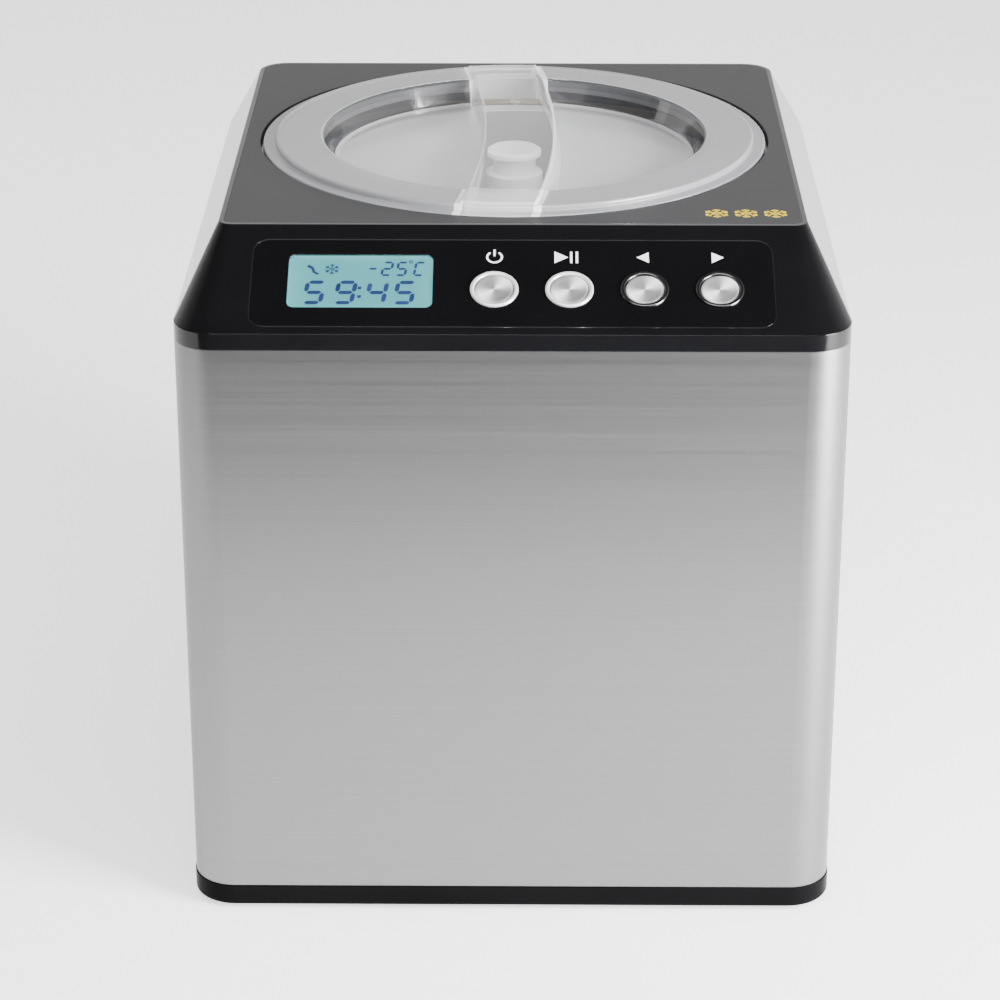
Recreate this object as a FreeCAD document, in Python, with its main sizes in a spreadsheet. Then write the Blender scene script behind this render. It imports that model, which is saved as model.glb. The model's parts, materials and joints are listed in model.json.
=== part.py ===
"""Countertop ice cream maker with its own compressor, as a parametric assembly.

Frame: X to the right, Y to the back, Z up, origin on the worktop under the middle
of the housing.  Millimetres.  Every size below hangs on the cells of one sheet.
"""
import FreeCAD, Part
import math
import os
import re

import Sketcher
from FreeCAD import Placement, Rotation, Vector
from fcgear import fcgear, involute

DIMENSIONS = {
    # housing
    "BodyWidth": 274, "BodyDepth": 310, "CornerRadius": 18, "FootHeight": 2, "FootRadius": 9,
    "BaseHeight": 9.6, "BaseLip": 0.4, "BaseWall": 3, "BaseFloor": 2.5, "BaseRound": 1.8,
    "SteelHeight": 246, "SteelWall": 1, "BandHeight": 7.1, "CoverWall": 3,
    "RiseHeight": 27.5, "SlopeDepth": 55.2, "SideInset": 15.5, "BackInset": 13.1,
    "FrontDeckRadius": 6, "BackDeckRadius": 13, "DeckThick": 3, "DeckRim": 2,
    "LedgeThick": 2.5, "TrimThick": 1, "PanelOpening": 117, "PanelThick": 2, "PanelLap": 3,
    "OpeningY": 130, "SideWall": 3.5, "SeatLedge": 7, "SeatSill": 4.5, "SeatReach": 4,
    "PostHoleRadius": 3.6, "TrayVentLong": 24, "TrayVentWide": 4, "TrayVentEnd": 10,
    "VentLong": 64, "VentHigh": 3.2, "VentPitch": 7.5, "VentLow": 80, "VentColumnPitch": 84,
    "VentWest": 74, "ScrewHoleRadius": 3.3, "DrillDeep": 10, "DrillStart": 6,
    # gaps between pieces, and how far a cutting tool runs past the face it cuts
    "FitGap": 0.3, "SlideGap": 0.1, "FoamGap": 0.2, "Overcut": 1,
    # controls, measured up the slope and outward from it
    "InsertHalf": 106, "InsertLow": 4.2, "InsertHigh": 53, "InsertRadius": 7, "InsertThick": 1.2,
    "WindowWest": 91, "WindowEast": 32.3, "WindowLow": 14.9, "WindowHigh": 44.5,
    "ButtonFirst": -7.4, "ButtonPitch": 30.4, "ButtonUp": 25, "RingRadius": 9.8,
    "ButtonRadius": 7.75, "ButtonGap": 0.3, "ButtonProud": 0.6, "ButtonDeep": 3.2,
    "BoardDeep": 7.4, "BoardThick": 1.6, "InsertClear": 5, "WindowRadius": 3, "LensSet": 0.2,
    "LensGap": 0.05, "CellRimX": 4, "CellRimY": 3.5, "CellTop": 1.6, "GlassRim": 1,
    "GlassThick": 0.3, "BoardLong": 196, "BoardWide": 42, "BoardLow": 8, "PlugLong": 16,
    "PlugSide": 6, "PlugX": 70, "PlugUp": 11, "SwitchSide": 6, "SwitchHigh": 2.2,
    "NubRadius": 1.7, "NubHigh": 0.6, "RingProud": 0.9, "RingOuter": 0.5, "RingInner": 0.4,
    "CapDraft": 1, "CapFoot": 0.8, "CapBevel": 0.4, "CapDish": 0.3,
    # lid
    "BowlY": 23.2, "LidRadius": 111.7, "LidStep": 106.3, "LidRise": 2.5, "LidWall": 2.2,
    "RecessRadius": 85, "RecessFloorRadius": 80, "RecessDeep": 11.2, "DeckHole": 113,
    "LedgeHole": 107.5, "RidgeBow": 620, "RidgeHalf": 16, "RidgeOffset": 2.5, "RidgeRise": 1,
    "RidgeDraft": 1.8, "RidgeEnd": 104.8, "RidgeWall": 1.9, "VentRadius": 2.2, "VentBack": 45.6,
    "RecessEdge": 1.5, "RingEdge": 1.1, "LipEdge": 0.8, "RecessRound": 3, "RidgeRound": 1.4,
    "ChannelShort": 9,
    # bowl and paddle
    "BowlRadius": 82.5, "BowlWall": 1.5, "BowlBottom": 176.6, "BowlRim": 280, "RimRadius": 90,
    "TubeRadius": 11, "TubeTop": 225, "HubRadius": 12.7, "NeckRadius": 9.5, "CapRadius": 12,
    "CapTop": 287, "WingReach": 79, "WingTop": 262, "WingThick": 5,
    "WingChamfer": 3, "BowlRound": 6, "RimThick": 2, "TubeWall": 2.8, "WingLift": 1.4,
    "HubGap": 0.35, "HubFlare": 1.5, "FlareHigh": 8, "HubTop": 276, "CapStep": 0.5,
    "CapThick": 3, "CapCrown": 1.5, "RoofGap": 1, "WingRoot": 0.7, "WingShort": 57,
    "WingFootHigh": 9, "WingArmHigh": 8, "WingBladeWide": 10, "WingRibWide": 4,
    # cooling well
    "WellRadius": 83.2, "WellWall": 1.2, "WellTop": 277.7, "WellFlange": 100,
    "FoamRadius": 112, "FoamInner": 93.5, "FoamSlotWide": 5, "CoilRadius": 88.9, "PipeRadius": 4,
    "CoilLow": 184, "CoilRise": 80, "CoilTurns": 7, "SealRadius": 9,
    "WellGap": 1.8, "FoamBore": 13, "SlotOver": 6, "PipeGap": 1, "RiserHigh": 40,
    "LineHole": 3, "DropHigh": 60, "SealLow": 5, "SealFlange": 3, "SealTop": 0.4,
    # drive
    "ChassisZ": 158, "ChassisThick": 2, "ShaftRadius": 6, "ShaftTop": 245, "RunningGap": 0.05,
    "HexAcross": 10, "MotorY": -45, "MotorRadius": 30, "MotorHeight": 61,
    "FastModule": 1, "SlowModule": 1.25, "SmallTeeth": 14, "IdlerTeeth": 56, "OutputTeeth": 50,
    "CaseDeep": 33, "CaseWall": 2.5, "CaseBase": 3, "CaseCover": 3, "CaseGap": 1.5,
    "GearLow": 6, "GearMiddle": 14.5, "GearHigh": 25, "MeshLap": 0.5, "PinRadius": 4,
    "PinGap": 0.4, "PinionRoom": 12, "BossRadius": 10, "BossHigh": 5, "BoreStart": 2,
    "ShaftLift": 0.4, "ShaftHole": 9, "MotorHole": 7, "MotorDrop": 4, "MotorVent": 9,
    "MotorNose": 12, "MotorBore": 6.5, "MotorWall": 3, "StatorBore": 21, "RotorShaft": 3,
    "RotorTail": 4, "RotorLow": 6, "RotorRadius": 20.4, "RotorHigh": 8, "RotorTip": 15.5,
    # cooling set
    "CompressorX": -72, "CompressorY": 85, "CompressorRadius": 50, "CompressorTop": 148,
    "CondenserX": 117, "CondenserFront": -88, "CondenserLong": 100, "CondenserLow": 22,
    "CondenserHigh": 138, "CondenserRows": 6,
    "FinWide": 22, "FinPitch": 4, "FinThick": 0.8, "TubeEnd": 14, "BendFront": 5, "BendBack": 1,
    "FanRadius": 44, "FanX": 84, "DrierX": 60, "DrierY": 110,
    "CompressorSeam": 80, "CompressorLow": 18, "CompressorDraft": 14, "CompressorRound": 12,
    "PlateLong": 96, "PlateWide": 66, "PlateThick": 2.5, "CollarProud": 2, "CollarHigh": 4,
    "DomeSide": 24, "DomeIn": 7, "DomeStep": 9, "DomeShoulder": 22, "DomeDrop": 2,
    "GrommetX": 41, "GrommetY": 26, "GrommetRadius": 7, "RelayWide": 40, "RelayDeep": 24,
    "RelayY": 12, "RelayZ": 38, "ShroudDeep": 28, "ShroudBack": 8, "FanGap": 2,
    "FanRim": 4, "BarWide": 8, "BarThick": 4, "BarShort": 1, "FanMotorRadius": 15,
    "FanMotorLong": 16, "FanMotorBack": 20, "FanHubRadius": 12, "FanHubLong": 10,
    "AxleRadius": 2, "AxleLong": 14, "AxleBack": 11.5, "BladeLong": 33, "BladeChord": 18,
    "BladeThick": 1.6, "BladeTilt": 35,
    # pipes
    "LineWall": 1, "LineDrop": 4, "SuctionBend": 5, "DischargeBend": 12, "LiquidBend": 8,
    "PortZ": 60, "SuctionAside": 26, "DischargeAside": 14, "DischargeTurn": 40,
    "DischargeSwing": 12, "DrierLow": 46, "DrierRadius": 9, "DrierNeck": 3, "DrierCone": 8,
    "DrierDrop": 20, "CapillaryLow": 36, "CapillaryAside": 16, "CapillaryRadius": 1.2,
    "CapillaryBend": 4, "CapillaryEnd": 3.2,
    "InletX": 85, "InletZ": 46, "InletWide": 30, "InletHigh": 23, "InletProud": 0.2,
    "InletFlange": 3.4, "InletBodyWide": 26.8, "InletBodyDeep": 22, "InletBodyHigh": 19.8,
    "InletMouthWide": 24, "InletMouthDeep": 16.5, "InletMouthHigh": 16.4, "PinWide": 4,
    "PinThick": 2, "PinLong": 16, "PinBack": 18, "PinPitch": 7, "PinZ": 6, "PinRaise": 3,
    "PcbY": 146, "PcbLong": 150, "PcbHigh": 90, "PcbZ": 30, "PcbThick": 1.6,
    "CoreX": 62, "CoreWide": 36, "CoreDeep": 26, "CoreHigh": 30, "CoreZ": 40,
    "SwitchX": 14, "SwitchWide": 20, "SwitchDeep": 16, "SwitchTall": 18, "SwitchZ": 44,
    "SinkX": 30, "SinkLong": 30, "SinkThick": 3, "SinkHigh": 44, "SinkZ": 60,
    "SinkFin": 2, "SinkDeep": 16, "SinkPitch": 7, "BigCapRadius": 9, "BigCapLong": 24,
    "BigCapZ": 92, "SmallCapRadius": 7, "SmallCapLong": 20, "SmallCapX": 20, "SmallCapZ": 48,
    # frame and screws
    "PlateHalfX": 128, "PlateHalfY": 149, "PlateRadius": 12, "PostRadius": 6,
    "PostBore": 1.8, "PostBoreDeep": 14, "HeadRadius": 3.4, "HeadSink": 0.2,
    "ShankRadius": 1.75, "ShankLong": 13, "RearHeadRadius": 3.1, "RearHeadThick": 2,
    "RearHeadSink": 1.8, "RearShankRadius": 1.5, "RearShankLong": 6.4, "FootBevel": 0.8,
    "FootPlug": 1, "FootX": 108, "FootY": 124, "PostX": 120, "PostY": 142, "RearScrewX": 113,
    "RearScrewLow": 24, "RearScrewMid": 135, "RearScrewTop": 245,
}

doc = FreeCAD.newDocument("IceCreamMaker")
sheet = doc.addObject("Spreadsheet::Sheet", "Sizes")
for row, (alias, size) in enumerate(DIMENSIONS.items(), start=1):
    sheet.set(f"A{row}", alias)
    sheet.set(f"B{row}", str(size))
    sheet.setAlias(f"B{row}", alias)
doc.recompute()

# Levels and angles shared by several pieces, as expressions over the sheet
BASE_TOP = "(FootHeight + BaseHeight)"
STEEL_TOP = "(FootHeight + BaseHeight + SteelHeight)"
BAND_TOP = f"({STEEL_TOP} + BandHeight)"
DECK_TOP = f"({BAND_TOP} + RiseHeight)"
RING_TOP = f"({DECK_TOP} + LidRise)"
RIDGE_TOP = f"({RING_TOP} + RidgeRise)"
RECESS_TOP = f"({RING_TOP} - RecessDeep)"
FLOOR_TOP = "(FootHeight + BaseFloor)"
SLOPE_ANGLE = "atan(RiseHeight / SlopeDepth)"
HALF_WIDTH = "BodyWidth / 2"
HALF_DEPTH = "BodyDepth / 2"
CASE_FLOOR = "(ChassisZ - CaseDeep)"
WING_LOW = "(BowlBottom + BowlWall + WingLift)"
WELL_SEAT = "(BowlBottom - WellGap - FoamGap)"
HALF_ROW = "((CondenserHigh - CondenserLow) / (2 * CondenserRows))"
PCB_FACE = "(PcbThick - PcbY)"
TRAY_VENTS = 9
VENT_COLUMNS = 2
VENT_LINES = 14
FAN_BLADES = 5
SINK_FINS = 5
PRESSURE_ANGLE = 20
THINNING = -0.1
SLACK = 0.001

nodes = []


def bound(text):
    """Expression text with the sheet's name put before each of its aliases."""
    return re.sub(r"\b[A-Z]\w+", lambda word: "Sizes." + word.group(), text)


def number(text):
    """Value of an expression over the sheet."""
    result = sheet.evalExpression(bound(text))
    return float(getattr(result, "Value", result))


def bind(item, name, text):
    item.setExpression(name, bound(text))


def place(item, x="0", y="0", z="0"):
    for axis, text in zip("xyz", (x, y, z)):
        bind(item, f"Placement.Base.{axis}", text)
    return item


def on_slope(item, x="0", up="0"):
    """Stand an item on the control slope: local Y runs up it and local Z out of it."""
    item.Placement = Placement(Vector(), Rotation(Vector(1, 0, 0), 10))
    bind(item, "Placement.Rotation.Angle", SLOPE_ANGLE)
    place(item, x, f"({up}) * cos({SLOPE_ANGLE}) - {HALF_DEPTH}",
          f"{BAND_TOP} + ({up}) * sin({SLOPE_ANGLE})")
    return item


def keep(item):
    """Mark a finished item as a piece of the assembly."""
    nodes.append(item)
    return item


# ---- Part primitives and booleans ------------------------------------------------

def block(label, size, corner):
    item = doc.addObject("Part::Box", label)
    for name, text in zip(("Length", "Width", "Height"), size):
        bind(item, name, text)
    return place(item, *corner)


def cylinder(label, radius, height, x="0", y="0", z="0", axis="Z"):
    item = doc.addObject("Part::Cylinder", label)
    turns = {"X": Rotation(Vector(0, 1, 0), 90), "Y": Rotation(Vector(1, 0, 0), -90),
             "Z": Rotation()}
    item.Placement = Placement(Vector(), turns[axis])
    bind(item, "Radius", radius)
    bind(item, "Height", height)
    return place(item, x, y, z)


def cone(label, low, high, height, x, y, z):
    """Cone with its seam on the far side from +X."""
    item = doc.addObject("Part::Cone", label)
    item.Placement = Placement(Vector(), Rotation(Vector(0, 0, 1), 180))
    for name, text in (("Radius1", low), ("Radius2", high), ("Height", height)):
        bind(item, name, text)
    return place(item, x, y, z)


def fuse(label, items):
    item = doc.addObject("Part::MultiFuse", label)
    item.Shapes = items
    return item


def cut(label, base, tool):
    item = doc.addObject("Part::Cut", label)
    item.Base = base
    item.Tool = tool
    return item


def common(label, base, tool):
    item = doc.addObject("Part::Common", label)
    item.Base = base
    item.Tool = tool
    return item


def group(label, items):
    item = doc.addObject("Part::Compound", label)
    item.Links = items
    return item


def shaped(label, shape):
    item = doc.addObject("Part::Feature", label)
    item.Shape = shape
    return item


# ---- PartDesign bodies -----------------------------------------------------------

def new_body(label):
    return doc.addObject("PartDesign::Body", label)


def new_sketch(body, name, plane="XY_Plane", height="0"):
    sketch = body.newObject("Sketcher::SketchObject", name)
    support = [item for item in body.Origin.OriginFeatures if item.Role == plane][0]
    sketch.AttachmentSupport = [(support, "")]
    sketch.MapMode = "FlatFace"
    bind(sketch, "AttachmentOffset.Base.z", height)
    return sketch


def hold(sketch, kind, places, text):
    """Add one dimension to a sketch and bind it."""
    index = sketch.addConstraint(Sketcher.Constraint(kind, *places, number(text)))
    bind(sketch, f"Constraints[{index}]", text)


def polygon(sketch, corners):
    """Closed outline whose corners are all bound to the sheet."""
    points = [Vector(number(across), number(along), 0) for across, along in corners]
    count = len(points)
    for edge in range(count):
        sketch.addGeometry(Part.LineSegment(points[edge], points[(edge + 1) % count]))
    for edge in range(count):
        sketch.addConstraint(Sketcher.Constraint("Coincident", edge, 2, (edge + 1) % count, 1))
        hold(sketch, "DistanceX", (-1, 1, edge, 1), corners[edge][0])
        hold(sketch, "DistanceY", (-1, 1, edge, 1), corners[edge][1])


def circle(sketch, radius, x="0", y="0"):
    centre = Vector(number(x), number(y), 0)
    edge = sketch.addGeometry(Part.Circle(centre, Vector(0, 0, 1), number(radius)))
    hold(sketch, "Radius", (edge,), radius)
    hold(sketch, "DistanceX", (-1, 1, edge, 3), x)
    hold(sketch, "DistanceY", (-1, 1, edge, 3), y)


def rounded_rectangle(sketch, west, east, south, north, south_radius, north_radius=None):
    """Rounded rectangle between four bound sides, with its own radius at each end."""
    north_radius = north_radius or south_radius
    low, high = number(south_radius), number(north_radius)
    x0, x1, y0, y1 = (number(side) for side in (west, east, south, north))
    first = sketch.GeometryCount
    lines = [((x0 + low, y0), (x1 - low, y0)), ((x1, y0 + low), (x1, y1 - high)),
             ((x1 - high, y1), (x0 + high, y1)), ((x0, y1 - high), (x0, y0 + low))]
    arcs = [((x1 - low, y0 + low), low, -90), ((x1 - high, y1 - high), high, 0),
            ((x0 + high, y1 - high), high, 90), ((x0 + low, y0 + low), low, 180)]
    for (start, end), (centre, radius, angle) in zip(lines, arcs):
        sketch.addGeometry(Part.LineSegment(Vector(*start, 0), Vector(*end, 0)))
        ring = Part.Circle(Vector(*centre, 0), Vector(0, 0, 1), radius)
        sketch.addGeometry(Part.ArcOfCircle(ring, math.radians(angle), math.radians(angle + 90)))
    for step in range(8):
        pair = (first + step, 2, first + (step + 1) % 8, 1)
        sketch.addConstraint(Sketcher.Constraint("Tangent", *pair))
    for step, kind in enumerate(("Horizontal", "Vertical", "Horizontal", "Vertical")):
        sketch.addConstraint(Sketcher.Constraint(kind, first + 2 * step))
    sides = (("DistanceY", 0, south), ("DistanceX", 2, east), ("DistanceY", 4, north),
             ("DistanceX", 6, west))
    for kind, step, text in sides:
        hold(sketch, kind, (-1, 1, first + step, 1), text)
    for step, text in ((1, south_radius), (3, north_radius), (5, north_radius), (7, south_radius)):
        hold(sketch, "Radius", (first + step,), text)


def pad(body, sketch, length, down=False):
    feature = body.newObject("PartDesign::Pad", sketch.Name + "Pad")
    feature.Profile = sketch
    feature.Reversed = down
    bind(feature, "Length", length)
    return feature


def pocket(body, sketch, length):
    """Cut from a sketch downward."""
    feature = body.newObject("PartDesign::Pocket", sketch.Name + "Pocket")
    feature.Profile = sketch
    bind(feature, "Length", length)
    return feature


def loft(body, kind, low, high):
    feature = body.newObject("PartDesign::" + kind, low.Name + "Loft")
    feature.Profile = low
    feature.Sections = [high]
    feature.Ruled = True
    return feature


def revolved(label, outline):
    """Body of revolution about its own Z axis from a (radius, height) outline."""
    body = new_body(label)
    sketch = new_sketch(body, label + "Outline", "XZ_Plane")
    polygon(sketch, outline)
    feature = body.newObject("PartDesign::Revolution", label + "Turn")
    feature.Profile = sketch
    feature.ReferenceAxis = (sketch, ["V_Axis"])
    feature.Angle = 360
    return body


def fillet(body, radius, chosen):
    """Round the edges of the body's last feature that the test picks."""
    doc.recompute()
    base = body.Tip
    picked = [f"Edge{n}" for n, edge in enumerate(base.Shape.Edges, start=1) if chosen(edge)]
    feature = body.newObject("PartDesign::Fillet", base.Name + "Round")
    feature.Base = (base, picked)
    bind(feature, "Radius", radius)
    return feature


def at_circle(radius, height):
    """Test for a circular edge of one radius at one level."""
    def chosen(edge):
        curve = edge.Curve
        if not isinstance(curve, Part.Circle):
            return False
        level = edge.BoundBox.ZMin
        return abs(curve.Radius - number(radius)) < SLACK and abs(level - number(height)) < SLACK
    return chosen


# ---- Tubes and gears -------------------------------------------------------------

def tube(label, points, radius, bend):
    """Round tube along straight runs joined by tangent arcs of one radius."""
    edges = []
    start = points[0]
    for before, corner, after in zip(points, points[1:], points[2:]):
        inward = (corner - before).normalize()
        outward = (after - corner).normalize()
        turn = inward.getAngle(outward)
        reach = bend * math.tan(turn / 2)
        first = corner - inward * reach
        last = corner + outward * reach
        middle = corner + (outward - inward).normalize() * (bend / math.cos(turn / 2) - bend)
        if start.distanceToPoint(first) > SLACK:
            edges.append(Part.LineSegment(start, first).toShape())
        edges.append(Part.Arc(first, middle, last).toShape())
        start = last
    edges.append(Part.LineSegment(start, points[-1]).toShape())
    section = Part.makeCircle(radius, points[0], points[1] - points[0])
    return shaped(label, Part.Wire(edges).makePipeShell([Part.Wire(section)], True, False))


def gear(teeth, module, height, low, angle):
    """Spur gear about the Z axis with one tooth centre turned to an angle in degrees."""
    builder = fcgear.FCWireBuilder()
    involute.CreateExternalGear(builder, module, int(teeth), PRESSURE_ANGLE, shiftCoeff=THINNING)
    outline = Part.Wire([edge.toShape() for edge in builder.wire])
    solid = Part.Face(outline).extrude(Vector(0, 0, height))
    solid.rotate(Vector(), Vector(0, 0, 1), angle)
    solid.translate(Vector(0, 0, low))
    return solid


# ---- Housing ---------------------------------------------------------------------

def base_tray():
    body = new_body("base_tray")
    outline = new_sketch(body, "TrayOutline", height="FootHeight")
    half_x, half_y = f"{HALF_WIDTH} + BaseLip", f"{HALF_DEPTH} + BaseLip"
    rounded_rectangle(outline, f"-({half_x})", half_x, f"-({half_y})", half_y,
                      "CornerRadius + BaseLip")
    pad(body, outline, "BaseHeight")
    hollow = new_sketch(body, "TrayHollow", height=BASE_TOP)
    in_x, in_y = f"{HALF_WIDTH} - BaseWall", f"{HALF_DEPTH} - BaseWall"
    rounded_rectangle(hollow, f"-({in_x})", in_x, f"-({in_y})", in_y, "CornerRadius - BaseWall")
    pocket(body, hollow, "BaseHeight - BaseFloor")
    fillet(body, "BaseRound", lambda edge: abs(edge.BoundBox.ZMax - number("FootHeight")) < SLACK)
    holes = new_sketch(body, "TrayHoles", height=FLOOR_TOP)
    for x, y in FOOT_SPOTS:
        circle(holes, "FootRadius / 2", x, y)
    for x, y in POST_SPOTS:
        circle(holes, "PostHoleRadius", x, y)
    pocket(body, holes, "BaseFloor + Overcut")
    slot = new_sketch(body, "TrayVent", height=FLOOR_TOP)
    rounded_rectangle(slot, "CondenserX - TrayVentLong / 2", "CondenserX + TrayVentLong / 2",
                      "CondenserFront", "CondenserFront + TrayVentWide",
                      "TrayVentWide / 2 - SlideGap")
    vent = pocket(body, slot, "BaseFloor + Overcut")
    vents = body.newObject("PartDesign::LinearPattern", "TrayVents")
    vents.Originals = [vent]
    vents.Direction = (slot, ["V_Axis"])
    bind(vents, "Length", "CondenserLong - TrayVentEnd")
    vents.Occurrences = TRAY_VENTS
    body.Tip = vents
    return keep(body)


def body_wrap():
    body = new_body("body_wrap")
    ring = new_sketch(body, "WrapOutline", height=BASE_TOP)
    rounded_rectangle(ring, f"-{HALF_WIDTH}", HALF_WIDTH, f"-{HALF_DEPTH}", HALF_DEPTH,
                      "CornerRadius")
    in_x, in_y = f"{HALF_WIDTH} - SteelWall", f"{HALF_DEPTH} - SteelWall"
    rounded_rectangle(ring, f"-({in_x})", in_x, f"-({in_y})", in_y, "CornerRadius - SteelWall")
    pad(body, ring, "SteelHeight")
    opening = new_sketch(body, "WrapOpening", height=STEEL_TOP)
    beyond = f"{HALF_DEPTH} + Overcut"
    polygon(opening, [("-PanelOpening", "OpeningY"), ("PanelOpening", "OpeningY"),
                      ("PanelOpening", beyond), ("-PanelOpening", beyond)])
    pocket(body, opening, "SteelHeight")
    return keep(body)


def rear_panel():
    low = f"{BASE_TOP} + FitGap"
    high = "SteelHeight - 2 * FitGap"
    step = "(SteelWall + SlideGap)"
    start = f"{HALF_DEPTH} - DrillStart"
    inner = block("PanelInner", ("2 * (PanelOpening + PanelLap)", "PanelThick", high),
                  ("-PanelOpening - PanelLap", f"{HALF_DEPTH} - {step} - PanelThick", low))
    outer = block("PanelOuter", ("2 * (PanelOpening - FitGap)", step, high),
                  ("FitGap - PanelOpening", f"{HALF_DEPTH} - {step}", low))
    tools = [block("PanelInletHole", ("InletWide + 2 * FitGap", "DrillDeep", "InletHigh + 2 * FitGap"),
                   ("InletX - InletWide / 2 - FitGap", start, "InletZ - InletHigh / 2 - FitGap"))]
    for column in range(VENT_COLUMNS):
        for line in range(VENT_LINES):
            tools.append(block(f"PanelVent{column}_{line}", ("VentLong", "DrillDeep", "VentHigh"),
                               (f"{column} * VentColumnPitch - VentWest", start,
                                f"VentLow + {line} * VentPitch")))
    for count, (x, z) in enumerate(REAR_SCREW_SPOTS):
        tools.append(cylinder(f"PanelScrewHole{count}", "ScrewHoleRadius", "DrillDeep", x, start, z,
                              "Y"))
    plate = fuse("PanelPlate", [inner, outer])
    return keep(cut("rear_panel", plate, fuse("PanelTools", tools)))


def cover_outline(body, name, share, wall="0", front_wall="0"):
    """Cross-section of the top cover at a share of its rise, less a wall."""
    sketch = new_sketch(body, name, height=f"{BAND_TOP} + ({share}) * RiseHeight")
    half = f"{HALF_WIDTH} - ({share}) * SideInset - {wall}"
    front = f"({share}) * SlopeDepth + {front_wall} - {HALF_DEPTH}"
    back = f"{HALF_DEPTH} - ({share}) * BackInset - {wall}"
    front_radius = f"CornerRadius - ({share}) * (CornerRadius - FrontDeckRadius) - {wall}"
    back_radius = f"CornerRadius - ({share}) * (CornerRadius - BackDeckRadius) - {wall}"
    rounded_rectangle(sketch, f"-({half})", half, front, back, front_radius, back_radius)
    return sketch


def deck_outline(sketch, gap="0"):
    half = f"{HALF_WIDTH} - SideInset - DeckRim - {gap}"
    rounded_rectangle(sketch, f"-({half})", half,
                      f"SlopeDepth + DeckRim + {gap} - {HALF_DEPTH}",
                      f"{HALF_DEPTH} - BackInset - DeckRim - {gap}",
                      f"FrontDeckRadius - DeckRim - {gap}", f"BackDeckRadius - DeckRim - {gap}")


def side_facet(side):
    """Corners of the leaning flat between the band and the deck, seen from outside."""
    low_front = Vector(number(HALF_WIDTH), number(f"CornerRadius - {HALF_DEPTH}"), number(BAND_TOP))
    low_back = Vector(low_front.x, -low_front.y, low_front.z)
    top_x = number(f"{HALF_WIDTH} - SideInset")
    top_front = Vector(top_x, number(f"SlopeDepth + FrontDeckRadius - {HALF_DEPTH}"),
                       number(DECK_TOP))
    top_back = Vector(top_x, number(f"{HALF_DEPTH} - BackInset - BackDeckRadius"),
                      number(DECK_TOP))
    corners = [low_front, low_back, top_back, top_front]
    return [Vector(side * point.x, point.y, point.z) for point in corners]


def side_trim(label, side):
    """Steel strip let into one leaning side of the cover, flush with it."""
    corners = side_facet(side)
    inward = Vector(-side * number("RiseHeight"), 0, -number("SideInset"))
    face = Part.Face(Part.makePolygon(corners + corners[:1]))
    return shaped(label, face.extrude(inward.normalize() * number("TrimThick")))


def top_cover(trims):
    body = new_body("CoverShell")
    band = new_sketch(body, "BandOutline", height=STEEL_TOP)
    rounded_rectangle(band, f"-{HALF_WIDTH}", HALF_WIDTH, f"-{HALF_DEPTH}", HALF_DEPTH,
                      "CornerRadius")
    pad(body, band, "BandHeight")
    low = cover_outline(body, "CoverLow", "0")
    high = cover_outline(body, "CoverHigh", "1")
    loft(body, "AdditiveLoft", low, high)
    hollow = new_sketch(body, "BandHollow", height=BAND_TOP)
    in_x, in_y = f"{HALF_WIDTH} - CoverWall", f"{HALF_DEPTH} - CoverWall"
    rounded_rectangle(hollow, f"-({in_x})", in_x, f"-({in_y})", in_y, "CornerRadius - CoverWall")
    pocket(body, hollow, "BandHeight")
    share = "(1 - (DeckThick + LedgeThick) / RiseHeight)"
    slope_wall = f"(CoverWall / sin({SLOPE_ANGLE}))"
    inner_low = cover_outline(body, "HollowLow", "0", "SideWall", slope_wall)
    inner_high = cover_outline(body, "HollowHigh", share, "SideWall", slope_wall)
    loft(body, "SubtractiveLoft", inner_low, inner_high)
    recess = new_sketch(body, "DeckRecess", height=DECK_TOP)
    deck_outline(recess)
    pocket(body, recess, "DeckThick")
    hole = new_sketch(body, "LidSeat", height=DECK_TOP)
    circle(hole, "LedgeHole", "0", "BowlY")
    pocket(body, hole, "DeckThick + LedgeThick + Overcut")
    seat = block("InsertSeat", ("2 * InsertHalf", "InsertHigh - InsertLow", "InsertThick + InsertClear"),
                 ("-InsertHalf", "InsertLow", "-InsertThick"))
    corners = common("InsertPocket", seat, insert_prism())
    window = block("InsertWindow", ("2 * (InsertHalf - SeatLedge)",
                                    "InsertHigh - InsertLow - 2 * SeatSill",
                                    "CoverWall + SeatReach + InsertClear"),
                   ("SeatLedge - InsertHalf", "InsertLow + SeatSill", "-CoverWall - SeatReach"))
    tools = on_slope(fuse("SlopeTools", [corners, window]))
    return keep(cut("top_cover", body, fuse("CoverTools", [tools] + trims)))


def insert_prism():
    body = new_body("InsertPrism")
    sketch = new_sketch(body, "PrismOutline", height="-InsertThick - Overcut")
    rounded_rectangle(sketch, "-InsertHalf", "InsertHalf", "InsertLow", "InsertHigh",
                      "InsertRadius")
    pad(body, sketch, "InsertThick + Overcut + 2 * InsertClear")
    return body


def top_deck():
    body = new_body("top_deck")
    outline = new_sketch(body, "DeckOutline", height=f"{DECK_TOP} - DeckThick")
    deck_outline(outline, "SlideGap")
    circle(outline, "DeckHole", "0", "BowlY")
    pad(body, outline, "DeckThick")
    return keep(body)


# ---- Controls --------------------------------------------------------------------

def control_overlay():
    body = on_slope(new_body("control_overlay"))
    sketch = new_sketch(body, "OverlayOutline")
    rounded_rectangle(sketch, "SlideGap - InsertHalf", "InsertHalf - SlideGap",
                      "InsertLow + SlideGap", "InsertHigh - SlideGap", "InsertRadius - SlideGap")
    rounded_rectangle(sketch, "-WindowWest", "-WindowEast", "WindowLow", "WindowHigh",
                      "WindowRadius")
    for x in BUTTON_SPOTS:
        circle(sketch, "RingRadius", x, "ButtonUp")
    pad(body, sketch, "InsertThick", down=True)
    return keep(body)


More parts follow.
